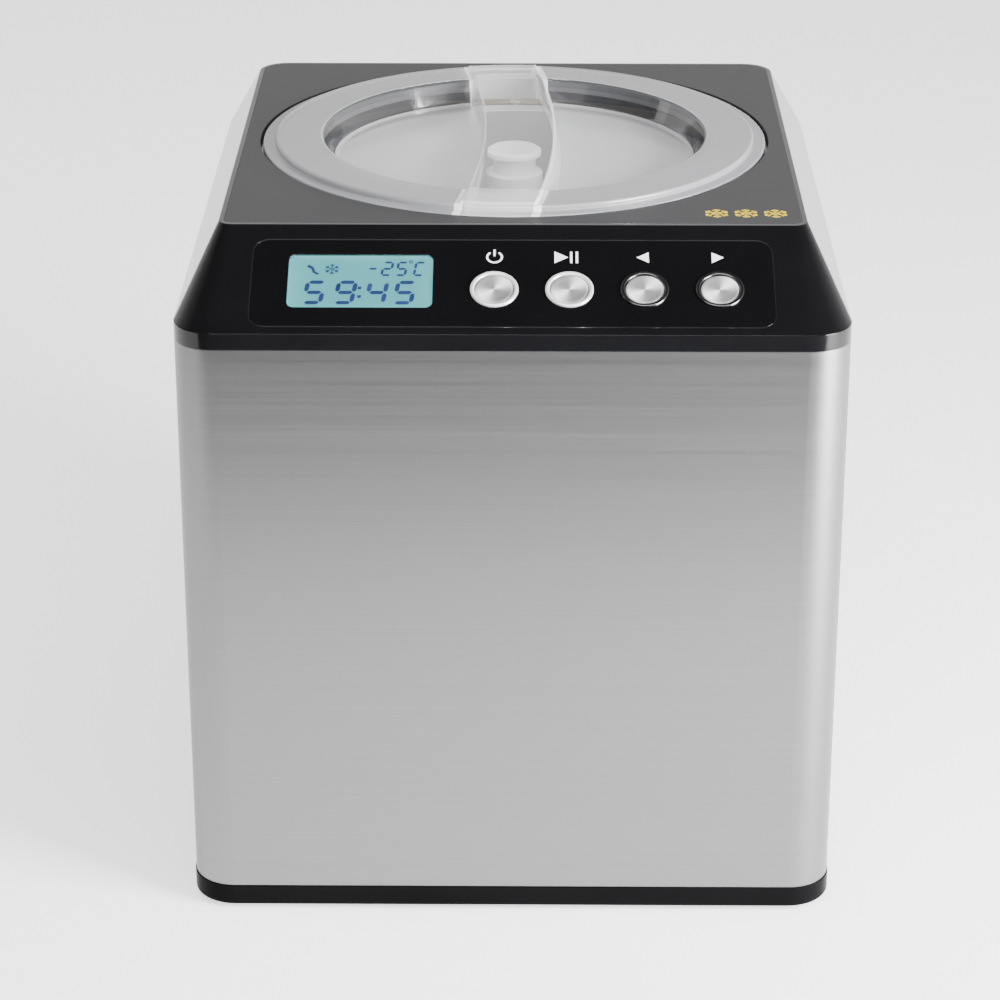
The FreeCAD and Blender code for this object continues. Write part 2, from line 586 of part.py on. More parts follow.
def lcd_parts():
    lens = on_slope(new_body("lcd_lens"))
    sketch = new_sketch(lens, "LensOutline", height="-LensSet")
    rounded_rectangle(sketch, "LensGap - WindowWest", "-WindowEast - LensGap", "WindowLow + LensGap",
                      "WindowHigh - LensGap", "WindowRadius - LensGap")
    pad(lens, sketch, "InsertThick - LensSet", down=True)
    keep(lens)
    wide, high = "WindowWest - WindowEast", "WindowHigh - WindowLow"
    cell = block("LcdCell", (f"{wide} + 2 * CellRimX", f"{high} + 2 * CellRimY", "BoardDeep - CellTop"),
                 ("-WindowWest - CellRimX", "WindowLow - CellRimY", "-BoardDeep"))
    glass = block("LcdGlass", (f"{wide} + 2 * GlassRim", f"{high} + 2 * GlassRim", "GlassThick"),
                  ("-WindowWest - GlassRim", "WindowLow - GlassRim", "-CellTop"))
    keep(on_slope(fuse("lcd_module", [cell, glass])))
    board = block("BoardPlate", ("BoardLong", "BoardWide", "BoardThick"),
                  ("-BoardLong / 2", "BoardLow", "-BoardDeep - BoardThick"))
    plug = block("BoardPlug", ("PlugLong", "PlugSide", "PlugSide"),
                 ("PlugX", "PlugUp", "-BoardDeep - BoardThick - PlugSide"))
    keep(on_slope(fuse("display_board", [board, plug])))
    switches = []
    for count, x in enumerate(BUTTON_SPOTS):
        can = block(f"SwitchCan{count}", ("SwitchSide", "SwitchSide", "SwitchHigh"),
                    (f"{x} - SwitchSide / 2", "ButtonUp - SwitchSide / 2", "-BoardDeep"))
        nub = cylinder(f"SwitchNub{count}", "NubRadius", "NubHigh", x, "ButtonUp",
                       "SwitchHigh - BoardDeep")
        switches.append(fuse(f"Switch{count}", [can, nub]))
    keep(on_slope(group("tact_switches", switches)))


def buttons():
    bore = "ButtonRadius + ButtonGap"
    for name, x in zip(BUTTON_NAMES, BUTTON_SPOTS):
        ring = revolved(f"{name}_ring", [
            (bore, "-ButtonDeep"), ("RingRadius", "-ButtonDeep"),
            ("RingRadius", "RingProud - RingInner"), ("RingRadius - RingOuter", "RingProud"),
            (f"{bore} + RingInner", "RingProud"), (bore, "RingProud - RingInner")])
        keep(on_slope(ring, x, "ButtonUp"))
        cap = revolved(f"{name}_button", [
            ("0", "-ButtonDeep"), ("ButtonRadius - CapDraft", "-ButtonDeep"),
            ("ButtonRadius", "CapFoot - ButtonDeep"), ("ButtonRadius", "ButtonProud - CapBevel"),
            ("ButtonRadius - CapBevel", "ButtonProud"), ("0", "ButtonProud - CapDish")])
        keep(on_slope(cap, x, "ButtonUp"))


# ---- Lid, bowl and paddle --------------------------------------------------------

def ridge(name, inset, top, end):
    """Bowed bar across the lid: a slice of a large drafted ring, cut to the lid's round."""
    low = f"({RECESS_TOP} - LidWall - Overcut)"
    height = f"({top} - {low})"
    spread = f"(RidgeDraft * {height} / RecessDeep)"
    centre = "RidgeOffset - RidgeBow"
    half = f"(RidgeHalf - {inset})"
    outer = cone(name + "Outer", f"RidgeBow + {half} + {spread}", f"RidgeBow + {half}", height,
                 centre, "0", low)
    inner = cone(name + "Inner", f"RidgeBow - {half} - {spread}", f"RidgeBow - {half}", height,
                 centre, "0", low)
    disc = cylinder(name + "Disc", end, height, z=low)
    return cut(name + "Bar", common(name + "Slice", disc, outer), inner)


def lid():
    lip_low = f"{DECK_TOP} - DeckThick + FitGap"
    dish = revolved("LidDish", [
        ("0", RECESS_TOP), ("RecessFloorRadius", RECESS_TOP), ("RecessRadius", RING_TOP),
        ("LidStep", RING_TOP), ("LidStep", DECK_TOP), ("LidRadius", DECK_TOP),
        ("LidRadius", lip_low), ("LidStep - LidWall", lip_low),
        ("LidStep - LidWall", f"{RING_TOP} - LidWall"),
        ("RecessRadius + LidWall", f"{RING_TOP} - LidWall"),
        ("RecessFloorRadius + LidWall", f"{RECESS_TOP} - LidWall"),
        ("0", f"{RECESS_TOP} - LidWall")])
    fillet(dish, "RecessEdge", at_circle("RecessRadius", RING_TOP))
    fillet(dish, "RingEdge", at_circle("LidStep", RING_TOP))
    fillet(dish, "LipEdge", at_circle("LidRadius", DECK_TOP))
    fillet(dish, "RecessRound", at_circle("RecessFloorRadius", RECESS_TOP))
    bar = ridge("Ridge", "0", RIDGE_TOP, "RidgeEnd")
    doc.recompute()
    rounded = doc.addObject("Part::Fillet", "RidgeRounded")
    rounded.Base = bar
    top, radius = number(RIDGE_TOP), number("RidgeRound")
    rounded.Edges = [(n, radius, radius) for n, edge in enumerate(bar.Shape.Edges, start=1)
                     if edge.BoundBox.ZMin > top - SLACK]
    channel = ridge("Channel", "RidgeWall", f"{RIDGE_TOP} - RidgeWall", "RidgeEnd - ChannelShort")
    vent = cylinder("LidVent", "VentRadius", "2 * RecessDeep", "0", "VentBack",
                    f"{RECESS_TOP} - Overcut")
    below = cylinder("LidBelow", "LidRadius", "RecessDeep", z=f"{RECESS_TOP} - LidWall - RecessDeep")
    shell = fuse("LidShell", [dish, rounded])
    return keep(place(cut("lid", shell, fuse("LidTools", [channel, vent, below])), y="BowlY"))


def bowl():
    inner = "BowlRadius - BowlWall"
    floor = "BowlBottom + BowlWall"
    bore = "TubeRadius - TubeWall"
    corner = "(BowlRound + BowlWall * tan(22.5))"
    item = revolved("bowl", [
        (bore, "BowlBottom"), ("BowlRadius - BowlRound", "BowlBottom"),
        ("BowlRadius", "BowlBottom + BowlRound"), ("BowlRadius", "BowlRim - RimThick"),
        ("RimRadius", "BowlRim - RimThick"), ("RimRadius", "BowlRim"), (inner, "BowlRim"),
        (inner, f"BowlBottom + {corner}"), (f"BowlRadius - {corner}", floor),
        ("TubeRadius", floor), ("TubeRadius", "TubeTop"), (bore, "TubeTop")])
    return keep(place(item, y="BowlY"))


def paddle():
    bore = "TubeRadius + HubGap"
    hub = revolved("PaddleHub", [
        (bore, WING_LOW), ("HubRadius + HubFlare", WING_LOW), ("HubRadius + HubFlare", "TubeTop"),
        ("HubRadius", "TubeTop + FlareHigh"), ("HubRadius", "HubTop"),
        ("NeckRadius", "HubTop + CapStep"), ("NeckRadius", "CapTop - CapThick - CapStep"),
        ("CapRadius", "CapTop - CapThick"), ("CapRadius", "CapTop - CapThick / 3"),
        ("CapRadius - CapCrown", "CapTop"), ("0", "CapTop"), ("0", "TubeTop + RoofGap"),
        (bore, "TubeTop + RoofGap")])
    socket = hexagon("HubSocket", "HexAcross + 2 * FitGap", "ShaftTop - TubeTop + 2 * FitGap",
                     "TubeTop")
    tall = f"WingTop - {WING_LOW}"
    root = "(HubRadius - WingRoot)"
    wings = []
    for side, reach in ((1, "WingReach"), (-1, "WingShort")):
        start = root if side > 0 else f"-{reach}"
        outer = f"{reach} - WingBladeWide" if side > 0 else f"-{reach}"
        rib = f"{reach} / 2 + WingRibWide" if side > 0 else f"-{reach} / 2 - 2 * WingRibWide"
        span = f"{reach} - {root}"
        bars = (("Foot", start, WING_LOW, span, "WingFootHigh"),
                ("Arm", start, "WingTop - WingArmHigh", span, "WingArmHigh"),
                ("Blade", outer, WING_LOW, "WingBladeWide", tall),
                ("Rib", rib, WING_LOW, "WingRibWide", tall))
        for name, x, z, wide, high in bars:
            wings.append(block(f"Wing{name}{side + 1}", (wide, "WingThick", high),
                               (x, "-WingThick / 2", z)))
    sweep = revolved("WingSweep", [
        ("0", WING_LOW), ("WingReach - WingChamfer", WING_LOW),
        ("WingReach", f"{WING_LOW} + WingChamfer"), ("WingReach", "WingTop"), ("0", "WingTop")])
    trimmed = common("WingTrimmed", fuse("Wings", wings), sweep)
    return keep(place(fuse("paddle", [cut("HubDrilled", hub, socket), trimmed]), y="BowlY"))


def hexagon(label, across, height, z):
    """Hexagonal prism about the Z axis, given across its flats."""
    item = doc.addObject("Part::Prism", label)
    item.Polygon = 6
    bind(item, "Circumradius", f"({across}) / sqrt(3)")
    bind(item, "Height", height)
    return place(item, z=z)


# ---- Cooling well ----------------------------------------------------------------

def cooling_well():
    outer = "WellRadius + WellWall"
    floor = "BowlBottom - WellGap"
    item = revolved("cooling_well", [
        ("SealRadius", floor), (outer, floor), (outer, "WellTop - WellWall"),
        ("WellFlange", "WellTop - WellWall"), ("WellFlange", "WellTop"), ("WellRadius", "WellTop"),
        ("WellRadius", f"{floor} + WellWall"), ("SealRadius", f"{floor} + WellWall")])
    return keep(place(item, y="BowlY"))


def foam_jacket():
    low = "ChassisZ + ChassisThick"
    ring = revolved("FoamRing", [
        ("FoamBore", low), ("FoamRadius", low), ("FoamRadius", "WellTop - WellWall"),
        ("FoamInner", "WellTop - WellWall"), ("FoamInner", WELL_SEAT), ("FoamBore", WELL_SEAT)])
    reach, angle = polar_spot("DrierX", "DrierY")
    slot = block("FoamSlot", ("FoamRadius", "FoamSlotWide", f"CoilLow + CoilRise + SlotOver - ({low})"),
                 (f"FoamSlotWide / 2 * sin({angle})", f"-FoamSlotWide / 2 * cos({angle})", low))
    slot.Placement.Rotation = Rotation(Vector(0, 0, 1), angle)
    keepout = cylinder("FoamSlotEnd", "FoamInner - Overcut", "WellTop", z=low)
    slit = cut("FoamSlit", slot, keepout)
    suction = coil_start()
    riser = cylinder("FoamRiser", "PipeRadius + PipeGap", "RiserHigh", str(suction.x),
                     str(suction.y), low)
    drop = cylinder("FoamDrop", "LineHole", "DropHigh", f"{reach} * cos({angle})",
                    f"{reach} * sin({angle})", low)
    return keep(place(cut("foam_jacket", ring, fuse("FoamTools", [slit, riser, drop])), y="BowlY"))


def polar_spot(x, y):
    """Distance and bearing in degrees of a spot from the bowl's axis."""
    across, along = number(x), number(f"{y} - BowlY")
    return math.hypot(across, along), math.degrees(math.atan2(along, across))


def coil_start():
    """Low end of the coil relative to the bowl's axis, over the compressor."""
    bearing = math.radians(SUCTION_BEARING)
    radius = number("CoilRadius")
    return Vector(radius * math.cos(bearing), radius * math.sin(bearing), number("CoilLow"))


def evaporator_coil():
    """Tube wound on the well; it ends on the bearing of the filter drier."""
    drier_bearing = polar_spot("DrierX", "DrierY")[1]
    short = (SUCTION_BEARING - drier_bearing) / 360
    turns = number("CoilTurns") - short
    rise, radius = number("CoilRise"), number("CoilRadius")
    helix = Part.makeHelix(rise / turns, rise, radius)
    start = helix.Edges[0]
    section = Part.makeCircle(number("PipeRadius"), Vector(radius, 0, 0),
                              start.tangentAt(start.FirstParameter))
    solid = Part.Wire(helix.Edges).makePipeShell([Part.Wire(section)], True, True)
    item = keep(shaped("evaporator_coil", solid))
    item.Placement = Placement(Vector(), Rotation(Vector(0, 0, 1), SUCTION_BEARING))
    place(item, y="BowlY", z="CoilLow")


# ---- Drive -----------------------------------------------------------------------

def idler_spot():
    """Idler axis at its two mesh distances from the motor and from the bowl's axis."""
    fast = number("FastModule * (SmallTeeth + IdlerTeeth) / 2")
    slow = number("SlowModule * (SmallTeeth + OutputTeeth) / 2")
    span = number("BowlY - MotorY")
    along = (fast ** 2 - slow ** 2 + span ** 2) / (2 * span)
    return Vector(math.sqrt(fast ** 2 - along ** 2), number("MotorY") + along, 0)


def drive_train():
    idler = idler_spot()
    motor = Vector(0, number("MotorY"), 0)
    bowl_axis = Vector(0, number("BowlY"), 0)
    small, large, final = (number(name) for name in ("SmallTeeth", "IdlerTeeth", "OutputTeeth"))
    fast, slow = number("FastModule"), number("SlowModule")
    floor = number(CASE_FLOOR)
    to_idler = math.degrees(math.atan2(idler.y - motor.y, idler.x - motor.x))
    to_output = math.degrees(math.atan2(bowl_axis.y - idler.y, bowl_axis.x - idler.x))
    low, middle, high = (floor + number(name) for name in ("GearLow", "GearMiddle", "GearHigh"))
    lap, deep = number("MeshLap"), number("CaseDeep")

    pinion = gear(small, fast, middle - low + 2 * lap, low - lap, to_idler)
    pinion = pinion.cut(Part.makeCylinder(number("RotorShaft"), deep, Vector(0, 0, floor)))
    spot_gear("motor_pinion", pinion, motor)

    wheel = gear(large, fast, middle - low - lap, low, to_idler + 180 + 180 / large)
    step = gear(small, slow, high - middle + 2 * lap, middle - lap, to_output)
    pin_hole = Part.makeCylinder(number("PinRadius + RunningGap"), deep, Vector(0, 0, floor))
    spot_gear("idler_gear", wheel.fuse(step).cut(pin_hole), idler)

    output = gear(final, slow, high - middle - lap, middle, to_output + 180 + 180 / final)
    output = output.cut(Part.makeCylinder(number("ShaftRadius"), deep, Vector(0, 0, floor)))
    spot_gear("output_gear", output, bowl_axis)


def spot_gear(label, shape, axis):
    item = keep(shaped(label, shape.removeSplitter()))
    item.Placement = Placement(axis, Rotation())


def gearbox():
    idler = idler_spot()
    rounds = [("0", "BowlY", "SlowModule * (OutputTeeth + 2) / 2 + CaseGap"),
              (str(idler.x), str(idler.y), "FastModule * (IdlerTeeth + 2) / 2 + CaseGap"),
              ("0", "MotorY", "PinionRoom")]
    depth = "CaseDeep - CaseCover"
    floor_top = f"{CASE_FLOOR} + CaseBase"
    outer, inner, lids = [], [], []
    for count, (x, y, radius) in enumerate(rounds):
        round_radius = f"{radius} + CaseWall"
        outer.append(cylinder(f"CaseOuter{count}", round_radius, depth, x, y, CASE_FLOOR))
        inner.append(cylinder(f"CaseInner{count}", radius, depth, x, y, floor_top))
        lids.append(cylinder(f"CaseLid{count}", round_radius, "CaseCover", x, y,
                             "ChassisZ - CaseCover"))
    hollow = cut("CaseHollow", fuse("CaseBlock", outer), fuse("CaseRoom", inner))
    pin = cylinder("IdlerPin", "PinRadius", f"{depth} - CaseBase - PinGap", str(idler.x),
                   str(idler.y), floor_top)
    boss = cylinder("ShaftBoss", "BossRadius", "BossHigh", "0", "BowlY", floor_top)
    bore = cylinder("ShaftBore", "ShaftRadius + RunningGap", "CaseDeep", "0", "BowlY",
                    f"{CASE_FLOOR} + BoreStart")
    motor_hole = cylinder("MotorOpening", "MotorHole", "2 * CaseBase", "0", "MotorY",
                          f"{CASE_FLOOR} - CaseBase / 2")
    drills = fuse("CaseDrills", [bore, motor_hole])
    keep(cut("gearbox_case", fuse("CaseBody", [hollow, pin, boss]), drills))
    lid_bore = cylinder("LidBore", "ShaftRadius + RunningGap", "3 * CaseCover", "0", "BowlY",
                        "ChassisZ - 2 * CaseCover")
    keep(cut("gearbox_cover", fuse("GearboxLid", lids), lid_bore))


def drive_shaft():
    shoulder = "(TubeTop + RoofGap)"
    foot = f"({CASE_FLOOR} + BoreStart + ShaftLift)"
    rod = cylinder("ShaftRod", "ShaftRadius", f"{shoulder} - {foot}", z=foot)
    top = hexagon("ShaftHex", "HexAcross", f"ShaftTop - {shoulder}", shoulder)
    keep(place(fuse("drive_shaft", [rod, top]), y="BowlY"))
    bore = "ShaftRadius + RunningGap"
    flange = "SealRadius + SealFlange"
    seal = revolved("shaft_seal", [
        (bore, "BowlBottom - SealLow"), (flange, "BowlBottom - SealLow"), (flange, WELL_SEAT),
        ("SealRadius", WELL_SEAT), ("SealRadius", "BowlBottom - SealTop"),
        (bore, "BowlBottom - SealTop")])
    keep(place(seal, y="BowlY"))


def motor():
    top = f"({CASE_FLOOR} - MotorDrop)"
    low = f"({top} - MotorHeight)"
    ceiling, floor = f"{top} - MotorWall", f"{low} + MotorWall"
    can = revolved("motor_stator", [
        ("MotorVent", low), ("MotorRadius", low), ("MotorRadius", top), ("MotorNose", top),
        ("MotorNose", CASE_FLOOR), ("MotorBore", CASE_FLOOR), ("MotorBore", ceiling),
        ("StatorBore", ceiling), ("StatorBore", floor), ("MotorVent", floor)])
    keep(place(can, y="MotorY"))
    tip = f"{CASE_FLOOR} + RotorTip"
    core_low, core_top = f"{low} + RotorLow", f"{top} - RotorHigh"
    rotor = revolved("motor_rotor", [
        ("0", f"{low} - RotorTail"), ("RotorShaft", f"{low} - RotorTail"),
        ("RotorShaft", core_low), ("RotorRadius", core_low), ("RotorRadius", core_top),
        ("RotorShaft", core_top), ("RotorShaft", tip), ("0", tip)])
    keep(place(rotor, y="MotorY"))


# ---- Cooling set -----------------------------------------------------------------

def compressor():
    seam, low = "CompressorSeam", "CompressorLow"
    radius, collar = "CompressorRadius", "CompressorRadius + CollarProud"
    shell = revolved("CompressorCan", [
        ("0", low), (f"{radius} - CompressorDraft", low), (radius, f"{low} + CompressorRound"),
        (radius, seam), ("0", seam)])
    place(shell, "CompressorX", "CompressorY")
    plate = block("CompressorPlate", ("PlateLong", "PlateWide", "PlateThick"),
                  ("CompressorX - PlateLong / 2", "CompressorY - PlateWide / 2",
                   f"{low} - PlateThick"))
    keep(fuse("compressor_lower", [shell, plate]))
    dome = revolved("compressor_upper", [
        ("0", seam), (collar, seam), (collar, f"{seam} + CollarHigh"),
        (radius, f"{seam} + CollarHigh"), (radius, "CompressorTop - DomeSide"),
        (f"{radius} - DomeIn", "CompressorTop - DomeStep"),
        (f"{radius} - DomeShoulder", "CompressorTop - DomeDrop"), ("0", "CompressorTop")])
    keep(place(dome, "CompressorX", "CompressorY"))
    grommets = []
    for count, (side, end) in enumerate(CORNERS):
        x, y = f"CompressorX + {side} * GrommetX", f"CompressorY + {end} * GrommetY"
        grommets.append(cylinder(f"Grommet{count}", "GrommetRadius",
                                 f"{low} - PlateThick - {FLOOR_TOP}", x, y, FLOOR_TOP))
    keep(group("compressor_grommets", grommets))
    relay = block("RelayBlock", ("RelayWide", "RelayDeep", "RelayWide"),
                  ("CompressorX - RelayWide / 2", "RelayY", "RelayZ"))
    clearance = cylinder("RelayCut", radius, "CompressorTop", "CompressorX", "CompressorY")
    ring = cylinder("RelayCollarCut", f"{collar} + FoamGap", "5 * CollarHigh", "CompressorX",
                    "CompressorY", f"{seam} - CollarHigh")
    keep(cut("relay_cover", relay, fuse("RelayTools", [clearance, ring])))


def condenser():
    low, high = number("CondenserLow"), number("CondenserHigh")
    front, span = number("CondenserFront"), number("CondenserLong")
    x, radius, wide = number("CondenserX"), number("PipeRadius"), number("FinWide")
    rows = int(number("CondenserRows"))
    pitch = (high - low) / rows
    levels = [low + pitch * (row + 0.5) for row in range(rows)]
    holes = [Part.makeCylinder(radius, span, Vector(x, front, level), Vector(0, 1, 0))
             for level in levels]
    fins = []
    for count in range(int(span / number("FinPitch"))):
        corner = Vector(x - wide / 2, front + count * number("FinPitch"), low)
        fins.append(Part.makeBox(wide, number("FinThick"), high - low, corner).cut(holes))
    keep(shaped("condenser_fins", Part.makeCompound(fins)))
    end = front + span + number("TubeEnd")
    near = front - number("BendFront") - pitch / 2
    far = front + span + number("BendBack") + pitch / 2
    points = [Vector(x, end, levels[-1])]
    for count, level in enumerate(reversed(levels)):
        turn = far if count % 2 else near
        points.append(Vector(x, turn, level))
        points.append(Vector(x, turn, level - pitch))
    points[-2:] = [Vector(x, end, levels[0])]
    keep(tube("condenser_tube", points, radius, pitch / 2 - SLACK))


def fan():
    y, z = "(CondenserFront + CondenserLong / 2)", "((CondenserLow + CondenserHigh) / 2)"
    half = "CondenserLong / 2"
    bar = "CondenserLong - 2 * BarShort"
    face = "FanX - ShroudBack"
    frame = block("ShroudBlock", ("ShroudDeep", "CondenserLong", "CondenserLong"),
                  (face, f"{y} - {half}", f"{z} - {half}"))
    duct = cylinder("ShroudDuct", "FanRadius + FanGap", "ShroudDeep", "FanX - FanGap", y, z, "X")
    back = cylinder("ShroudOpening", "FanRadius - FanRim", "ShroudDeep", f"{face} - Overcut", y, z, "X")
    spider = [block("ShroudBarY", ("BarThick", bar, "BarWide"),
                    (face, f"{y} - {half} + BarShort", f"{z} - BarWide / 2")),
              block("ShroudBarZ", ("BarThick", "BarWide", bar),
                    (face, f"{y} - BarWide / 2", f"{z} - {half} + BarShort"))]
    opened = cut("ShroudOpen", frame, fuse("ShroudTools", [duct, back]))
    seat = cylinder("ShroudSeat", "FanMotorRadius", "FanMotorLong", "FanX - FanMotorBack", y, z, "X")
    keep(cut("fan_shroud", fuse("ShroudBody", [opened] + spider), seat))
    can = cylinder("FanCan", "FanMotorRadius", "FanMotorLong", "FanX - FanMotorBack", y, z, "X")
    bore = cylinder("FanBore", "AxleRadius + RunningGap", "FanMotorBack", "FanX - FanHubRadius", y, z, "X")
    keep(cut("fan_motor", can, bore))
    pieces = [cylinder("FanHub", "FanHubRadius", "FanHubLong", "FanX", y, z, "X"),
              cylinder("FanAxle", "AxleRadius", "AxleLong", "FanX - AxleBack", y, z, "X")]
    length, chord, thick = (number(name) for name in ("BladeLong", "BladeChord", "BladeThick"))
    centre = Vector(number("FanX + FanHubLong / 2"), number(y), number(z))
    twist = Placement(Vector(), Rotation(Vector(0, 0, 1), number("BladeTilt")))
    shift = Placement(Vector(-thick / 2, -chord / 2, length / 3), Rotation())
    for count in range(FAN_BLADES):
        blade = doc.addObject("Part::Box", f"FanBlade{count}")
        for name, text in (("Length", "BladeThick"), ("Width", "BladeChord"), ("Height", "BladeLong")):
            bind(blade, name, text)
        turn = Placement(centre, Rotation(Vector(1, 0, 0), 360 / FAN_BLADES * count))
        blade.Placement = turn * twist * shift
        pieces.append(blade)
    keep(fuse("fan_blade", pieces))


def lines():
    radius = number("PipeRadius - LineWall")
    start = coil_start() + Vector(0, number("BowlY"), 0)
    over = number("ChassisZ - LineDrop")
    side = Vector(number("CompressorX + CompressorRadius"), number("CompressorY"), number("PortZ"))
    aside = side.x + number("SuctionAside")
    keep(tube("suction_line", [
        start - Vector(0, 0, number("PipeRadius")), Vector(start.x, start.y, over - 1),
        Vector(aside, start.y, over - 1), Vector(aside, side.y, side.z), side],
        radius, number("SuctionBend")))
    run, top = number(f"CondenserLow + {HALF_ROW}"), number(f"CondenserHigh - {HALF_ROW}")
    entry = number("CondenserFront + CondenserLong + TubeEnd")
    x = number("CondenserX")
    port_y = side.y + number("DischargeAside")
    keep(tube("discharge_line", [
        Vector(side.x - 1, port_y, run), Vector(x - number("DischargeTurn"), port_y, run),
        Vector(x, side.y - number("DischargeSwing"), run), Vector(x, entry, run)],
        radius, number("DischargeBend")))
    drier = Vector(number("DrierX"), number("DrierY"), 0)
    drier_low, drier_top = number("DrierLow"), top - number("DrierDrop")
    keep(tube("liquid_line", [
        Vector(x, entry, top), Vector(x, drier.y, top), Vector(drier.x, drier.y, top),
        Vector(drier.x, drier.y, drier_top)], radius, number("LiquidBend")))
    body = revolved("filter_drier", [
        ("0", "DrierLow"), ("DrierNeck", "DrierLow"), ("DrierRadius", "DrierLow + DrierCone"),
        ("DrierRadius", f"{drier_top} - DrierCone"), ("DrierNeck", str(drier_top)),
        ("0", str(drier_top))])
    keep(place(body, "DrierX", "DrierY"))
    bearing = math.radians(polar_spot("DrierX", "DrierY")[1])
    end_level = number("CoilLow + CoilRise")
    inward = Vector(math.cos(bearing), math.sin(bearing), 0)
    coil_end = Vector(0, number("BowlY"), end_level) + inward * number("CoilRadius + CapillaryEnd")
    low, aside = number("CapillaryLow"), drier.x - number("CapillaryAside")
    keep(tube("capillary_tube", [
        Vector(drier.x, drier.y, drier_low), Vector(drier.x, drier.y, low),
        Vector(aside, drier.y, low), Vector(aside, drier.y, over), Vector(drier.x, drier.y, over),
        Vector(drier.x, drier.y, end_level), coil_end],
        number("CapillaryRadius"), number("CapillaryBend")))


# ---- Power and frame -------------------------------------------------------------

def power_parts():
    pieces = [
        block("PowerPcb", ("PcbLong", "PcbThick", "PcbHigh"), ("-PcbLong / 2", "-PcbY", "PcbZ")),
        block("PowerTransformer", ("CoreWide", "CoreDeep", "CoreHigh"), ("-CoreX", PCB_FACE, "CoreZ")),
        block("PowerRelay", ("SwitchWide", "SwitchDeep", "SwitchTall"),
              ("-SwitchX", PCB_FACE, "SwitchZ")),
        block("PowerSink", ("SinkLong", "SinkThick", "SinkHigh"), ("SinkX", PCB_FACE, "SinkZ")),
        cylinder("PowerCapA", "BigCapRadius", "BigCapLong", "0", PCB_FACE, "BigCapZ", "Y"),
        cylinder("PowerCapB", "SmallCapRadius", "SmallCapLong", "SmallCapX", PCB_FACE,
                 "SmallCapZ", "Y")]
    for count in range(SINK_FINS):
        pieces.append(block(f"PowerFin{count}", ("SinkFin", "SinkDeep", "SinkHigh"),
                            (f"SinkX + {count} * SinkPitch", f"{PCB_FACE} + SinkThick - FitGap", "SinkZ")))
    keep(fuse("power_board", pieces))
    face = f"{HALF_DEPTH} + InletProud"
    flange = block("InletPlate", ("InletWide", "InletFlange", "InletHigh"),
                   ("InletX - InletWide / 2", f"{face} - InletFlange", "InletZ - InletHigh / 2"))
    housing = block("InletHousing", ("InletBodyWide", "InletBodyDeep - 2 * Overcut", "InletBodyHigh"),
                    ("InletX - InletBodyWide / 2", f"{face} - InletBodyDeep",
                     "InletZ - InletBodyHigh / 2"))
    recess = block("InletRecess", ("InletMouthWide", "InletMouthDeep + Overcut", "InletMouthHigh"),
                   ("InletX - InletMouthWide / 2", f"{face} - InletMouthDeep",
                    "InletZ - InletMouthHigh / 2"))
    pins = [block(f"InletPin{count}", ("PinWide", "PinLong", "PinThick"),
                  (f"InletX - PinWide / 2 + {side} * PinPitch", f"{face} - PinBack",
                   f"InletZ - PinZ + {rise} * PinRaise"))
            for count, (side, rise) in enumerate(((-1, 0), (0, 1), (1, 0)))]
    shell = cut("InletShell", fuse("InletBody", [flange, housing]), recess)
    keep(fuse("power_inlet", [shell] + pins))


def chassis():
    body = new_body("chassis_plate")
    sketch = new_sketch(body, "ChassisOutline", height="ChassisZ")
    rounded_rectangle(sketch, "-PlateHalfX", "PlateHalfX", "-PlateHalfY", "PlateHalfY", "PlateRadius")
    circle(sketch, "ShaftHole", "0", "BowlY")
    start = coil_start()
    circle(sketch, "PipeRadius + PipeGap", str(start.x), f"BowlY + {start.y}")
    circle(sketch, "LineHole", "DrierX", "DrierY")
    pad(body, sketch, "ChassisThick")
    keep(body)
    posts, screws, rear = [], [], []
    for count, (x, y) in enumerate(POST_SPOTS):
        column = cylinder(f"Post{count}", "PostRadius", f"ChassisZ - {FLOOR_TOP}", x, y, FLOOR_TOP)
        bore = cylinder(f"PostBore{count}", "PostBore", "PostBoreDeep", x, y, FLOOR_TOP)
        posts.append(cut(f"PostDrilled{count}", column, bore))
        head = cylinder(f"ScrewHead{count}", "HeadRadius", "BaseFloor - HeadSink", x, y,
                        "FootHeight + HeadSink")
        shank = cylinder(f"ScrewShank{count}", "ShankRadius", "ShankLong", x, y, FLOOR_TOP)
        screws.append(fuse(f"BaseScrew{count}", [head, shank]))
    keep(group("chassis_posts", posts))
    keep(group("base_screws", screws))
    for count, (x, z) in enumerate(REAR_SCREW_SPOTS):
        neck = f"{HALF_DEPTH} - RearHeadSink"
        head = cylinder(f"RearHead{count}", "RearHeadRadius", "RearHeadThick", x, neck, z, "Y")
        shank = cylinder(f"RearShank{count}", "RearShankRadius", "RearShankLong", x,
                         f"{neck} + FoamGap - RearShankLong", z, "Y")
        rear.append(fuse(f"RearScrew{count}", [head, shank]))
    keep(group("rear_screws", rear))


def feet():
    for name, (x, y) in zip(CORNER_NAMES, FOOT_SPOTS):
        plug = f"{FLOOR_TOP} + FootPlug"
        foot = revolved(f"foot_{name}", [
            ("0", "0"), ("FootRadius - FootBevel", "0"), ("FootRadius", "FootBevel"),
            ("FootRadius", "FootHeight"), ("FootRadius / 2", "FootHeight"),
            ("FootRadius / 2", plug), ("0", plug)])
        keep(place(foot, x, y))


# ---- Assembly --------------------------------------------------------------------

